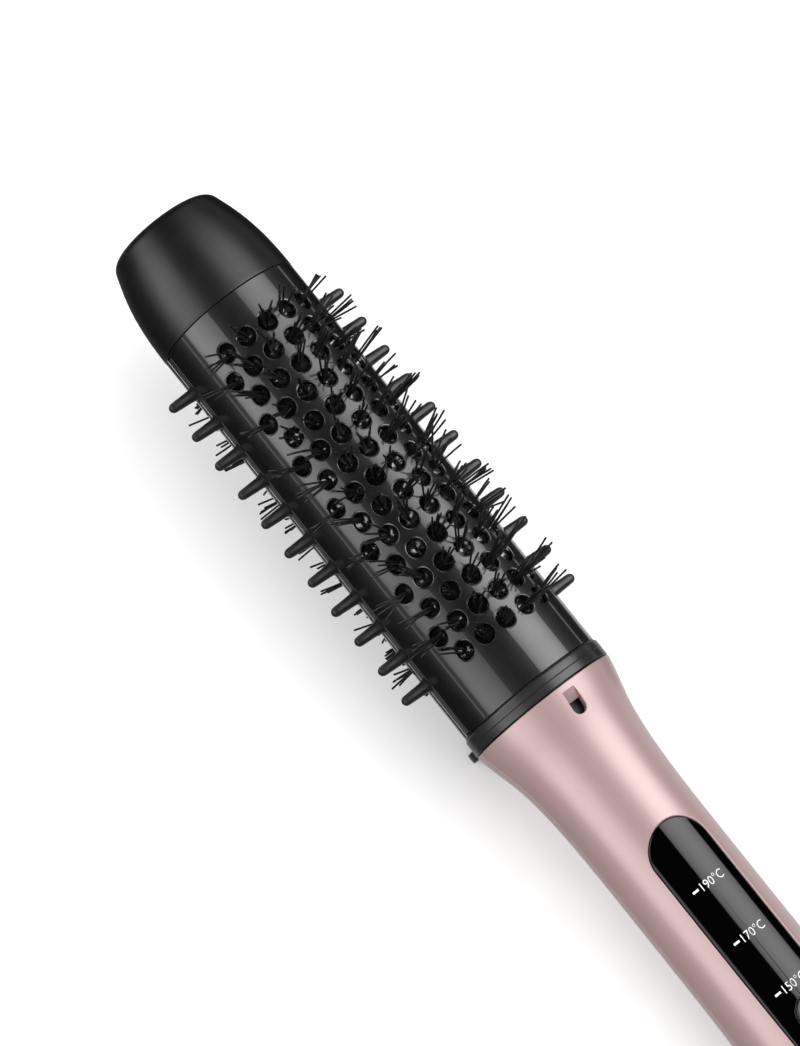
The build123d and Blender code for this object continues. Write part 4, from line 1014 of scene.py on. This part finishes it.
# ---- rear end and stand ----
def make_rear():
    """The inlet cover with its slots, and the cord swivel."""
    neck = cover_high.x - COVER_NECK
    profile = [(5.0, 8.4)] + COVER.span(5.3, neck, 0.6) + [
        (neck, COVER_NECK_RADIUS), (cover_high.x, COVER_NECK_RADIUS), (cover_high.x, 13.5), (25.5, 13.8),
        (25.5, 14.7), (17.0, 14.2), (10.0, 12.0), (10.0, REAR_HOLE_RADIUS), (5.25, REAR_HOLE_RADIUS),
        (5.0, REAR_HOLE_RADIUS + 0.25),
    ]
    cover = lathe("inlet_cover", profile, 240)
    outline = [(INLET_MIDDLE + math.copysign(INLET_HALF_LENGTH, u) + u, v)
               for u, v in circle(INLET_END_RADIUS, 24)]
    slots = []
    for slot in range(INLET_COUNT):
        turn = round_axis(360 / INLET_COUNT * (slot + 0.5))
        points = [tuple(turn @ Vector((x, y, height))) for height in (12.0, 20.0) for x, y in outline]
        slots.append((points, tube_faces(2, len(outline))))
    cut(cover, new_piece("inlet_slots", *gathered(slots)))
    true_normals(cover, COVER)
    finish_piece(cover, "collar_plastic", "housing", "rear_cover")

    swivel = lathe("swivel_gland", rounded([
        (0, CORD_RADIUS, 0.5), (0, GLAND_RADIUS, 0.8), (10.3, GLAND_RADIUS, 0), (10.3, FLANGE_RADIUS, 0.2),
        (12.3, FLANGE_RADIUS, 0.2), (12.3, GLAND_RADIUS, 0), (swivel_high.x, GLAND_RADIUS, 0.3),
        (swivel_high.x, CORD_RADIUS, 0),
    ], 5), 128)
    finish_piece(swivel, "collar_plastic", "swivel", "cord_swivel")


def bevel_edges(work, edges, size):
    bmesh.ops.bevel(work, geom=edges, offset=size * MM, segments=3, profile=0.5, affect="EDGES")


def make_stand():
    """The U-shaped rest stand: two eyes, two legs and a foot bar with rounded edges."""
    foot_z, foot_half = stand_low.z, stand_high.y
    bar_top = foot_z + 2.6
    outline = rounded([
        (EYE_FROM, PIVOT_Z, 0), (EYE_TO, PIVOT_Z, 0), (foot_half, foot_z + STAND_BAR, 1.2),
        (foot_half, foot_z, 1.8), (-foot_half, foot_z, 1.8),
        (-foot_half, foot_z + STAND_BAR, 1.2), (-EYE_TO, PIVOT_Z, 0),
        (-EYE_FROM, PIVOT_Z, 0), (STAND_BAR - foot_half, bar_top, 0.8), (foot_half - STAND_BAR, bar_top, 0.8),
    ], 6)
    work = bmesh.new()
    front = [work.verts.new(((STAND_X + STAND_HALF_THICKNESS) * MM, y * MM, z * MM)) for y, z in outline]
    made = bmesh.ops.extrude_face_region(work, geom=[work.faces.new(front)])
    for vertex in [g for g in made["geom"] if isinstance(g, bmesh.types.BMVert)]:
        vertex.co.x = (STAND_X - STAND_HALF_THICKNESS) * MM
    bevel_edges(work, [e for e in work.edges if abs(e.verts[0].co.x - e.verts[1].co.x) < 1e-9], 0.35)
    stand = piece_from("stand_bail", work)
    place = crosswise_at(STAND_X, PIVOT_Z)
    for side in (-1, 1):
        low, high = sorted((side * EYE_FROM, side * EYE_TO))
        profile = rounded([(low, 0, 0), (low, EYE_RADIUS, 0.25), (high, EYE_RADIUS, 0.25), (high, 0, 0)],
                          4, closed=False)
        cut(stand, lathe("eye", profile, 48, place), "UNION")
    cut(stand, lathe("bore", [(-12, 0), (-12, PIN_BORE), (12, PIN_BORE), (12, 0)], 48, place))
    finish_piece(stand, "collar_plastic", "stand", "rest_stand")


def make_pads():
    """The two soft pads under the stand's foot, with rounded edges."""
    work = bmesh.new()
    thickness = pads_high - pads_low
    size = Matrix.Diagonal(Vector((thickness.x, 2 * (pads_high.y - PAD_MIDDLE), thickness.z, 1)))
    for side in (-1, 1):
        place = Matrix.Translation(Vector((FOOT_X, side * PAD_MIDDLE, (pads_low.z + pads_high.z) / 2)))
        bmesh.ops.create_cube(work, size=1, matrix=Matrix.Scale(MM, 4) @ place @ size)
    bevel_edges(work, work.edges[:], 0.2)
    finish_piece(piece_from("stand_pad_pair", work), "pad_rubber", "stand", "stand_pads")


# ---- stage, light and camera ----
def make_stage(size=3000):
    """A plain pale floor, sloped so that the stand's pads and the handle's rear rest on it."""
    underside = COVER.span(6, HANDLE_REAR - 1, 0.5) + HANDLE.span(HANDLE_REAR, HANDLE_FRONT - 30)
    slope = min((-radius - FOOT_Z) / (FOOT_X - x) for x, radius in underside)
    points = [(FOOT_X + dx, dy, FOOT_Z - slope * dx)
              for dx, dy in ((-size, -size), (size, -size), (size, size), (-size, size))]
    floor = new_piece("floor", points, [[0, 1, 2, 3]])
    paint(floor, "floor_pale")
    floor.visible_glossy = False


EVEN = ((0.0, 1.0), (1.0, 1.0))


def glowing_card(name, corners, radiance, along=EVEN, across=EVEN):
    """A stage card that is only seen in reflections, and glows by two ramps of (position, brightness).

    Its corners run along the brush first: rear low, front low, front high, rear high.
    """
    mesh = bpy.data.meshes.new(name)
    mesh.from_pydata([tuple(Vector(corner) * MM) for corner in corners], [], [[0, 1, 2, 3]])
    layer = mesh.uv_layers.new(name="card")
    for loop, uv in enumerate(((0, 0), (1, 0), (1, 1), (0, 1))):
        layer.data[loop].uv = uv
    material = bpy.data.materials.new(name)
    material.use_nodes = True
    tree = material.node_tree
    tree.nodes.clear()
    split = add_node(tree, "SeparateXYZ", Vector=add_node(tree, "TexCoord").outputs["UV"])
    product = add_node(tree, "VectorMath", [("operation", "MULTIPLY")])
    for axis, stops in enumerate((along, across)):
        greys = [(position, [brightness] * 3) for position, brightness in stops]
        tree.links.new(add_ramp(tree, split.outputs[axis], greys), product.inputs[axis])
    emission = add_node(tree, "Emission", Color=product.outputs[0], Strength=radiance)
    add_node(tree, "OutputMaterial", Surface=emission.outputs[0])
    mesh.materials.append(material)
    card = add_object(name, mesh)
    card.visible_camera = card.visible_shadow = card.visible_diffuse = False


def side_card(name, x_from, x_to, y, low, high, radiance):
    """An upright card along the brush."""
    glowing_card(name, ((x_from, y, low), (x_to, y, low), (x_to, y, high), (x_from, y, high)), radiance)


def outward_at(angle):
    return Vector((0, -math.sin(math.radians(angle)), math.cos(math.radians(angle))))


def softbox(name, angle, width, x_from, x_to, radiance, along, across, distance=800):
    """A long softbox beside the brush; across runs from its higher to its lower edge."""
    outward = outward_at(angle)
    half = Vector((0, -outward.z, outward.y)) * math.copysign(width / 2, angle)
    corners = [Vector((x, 0, 0)) + outward * distance + half * side
               for x, side in ((x_from, -1), (x_to, -1), (x_to, 1), (x_from, 1))]
    glowing_card(name, corners, radiance, along, across)


def even_light(name, angle, width, power, length=2.4, distance=1.6, x=0.2):
    """A large lamp, in metres, that lights evenly and is not mirrored in glossy surfaces."""
    lamp = bpy.data.lights.new(name, "AREA")
    lamp.shape = "RECTANGLE"
    lamp.size, lamp.size_y = length, width
    lamp.energy = power
    light = add_object(name, lamp)
    outward, along = outward_at(angle), Vector((1, 0, 0))
    light.matrix_world = Matrix((along, outward.cross(along), outward)).transposed().to_4x4()
    light.location = along * x + outward * distance
    light.visible_glossy = False


def make_lights():
    """Two softboxes, cards that darken or line the brush's sides, the table's sheen, two even lamps."""
    softbox("softbox_right", 35.9, 815, -500, 1100, 4.8,
            ((0.0, 0.0), (0.10, 0.0), (0.16, 0.88), (0.40, 0.88), (0.44, 1.0), (0.5, 1.0), (0.57, 0.68),
             (0.68, 0.6), (0.9, 0.25), (1.0, 0.1)),
            ((0.0, 0.45), (0.18, 0.8), (0.45, 1.0), (0.62, 1.0), (0.8, 0.84), (1.0, 0.5)))
    softbox("softbox_left", -65, 712, -500, 1300, 3.5,
            ((0.0, 0.0), (0.09, 0.0), (0.14, 0.95), (0.40, 0.85), (0.425, 0.55), (0.445, 0.42),
             (0.505, 1.0), (1.0, 1.0)),
            ((0.0, 0.48), (0.25, 0.65), (0.45, 0.8), (0.72, 1.0), (0.9, 0.88), (1.0, 0.5)))
    glowing_card("card_right", ((166, -60, -20), (420, -60, -56), (420, -60, 16), (166, -60, 16)), 0)
    side_card("line_right", 150, 420, -59, 6.1, 9.9, 1.0)
    side_card("card_left", -120, 420, 45, -60, 10, 0)
    side_card("line_left", 150, 420, 44, 5.8, 7.9, 1.0)
    glowing_card("table_sheen", ((-200, -500, -70), (520, -500, -70), (520, 500, -70), (-200, 500, -70)), 0.95,
                 ((0.0, 1.0), (0.70, 1.0), (0.72, 0.34), (1.0, 0.34)),
                 ((0.0, 0.75), (0.45, 0.75), (0.55, 0.34), (1.0, 0.34)))
    even_light("diffuser", 14, 1.8, 20)
    even_light("left_fill", -50, 1.4, 8)
    world = bpy.data.worlds.new("studio")
    world.use_nodes = True
    background = world.node_tree.nodes["Background"]
    background.inputs["Color"].default_value = (0.97, 0.97, 0.97, 1)
    background.inputs["Strength"].default_value = 0.85
    world.cycles_visibility.glossy = False
    bpy.context.scene.world = world
    bpy.context.scene.view_settings.view_transform = "Standard"


def make_camera():
    """The camera high over the +Y side, looking down at the barrel, as fitted to the photo."""
    data = bpy.data.cameras.new("camera")
    data.lens = 123.15
    data.sensor_width = 36
    data.clip_start, data.clip_end = 0.01, 50
    camera = add_object("camera", data)
    right = Vector((-0.61957, -0.76589, 0.17191))
    up = Vector((0.77300, -0.55728, 0.30316))
    back = Vector((-0.13639, 0.32071, 0.93730))
    camera.matrix_world = Matrix((right, up, back)).transposed().to_4x4()
    camera.location = Vector((collar_low.x - 60.1, 283.74, 831.78)) * MM
    bpy.context.scene.camera = camera


make_camera()
dress_cad_nodes()
make_barrel()
make_strip("comb_strip_left", 1)
make_strip("comb_strip_right", -1)
make_bristles("bristles_front", 0, 11, (0.44, 0.14), 1.0)
make_bristles("bristles_back", 180, 12, (0.1, 0.1), 0.82)
make_cups("tuft_cups_front", 0)
make_cups("tuft_cups_back", 180)
make_cool_tip()
make_collar()
make_handle()
make_ion_liner()
make_print()
make_buttons()
make_rear()
make_stand()
make_pads()
make_stage()
make_lights()
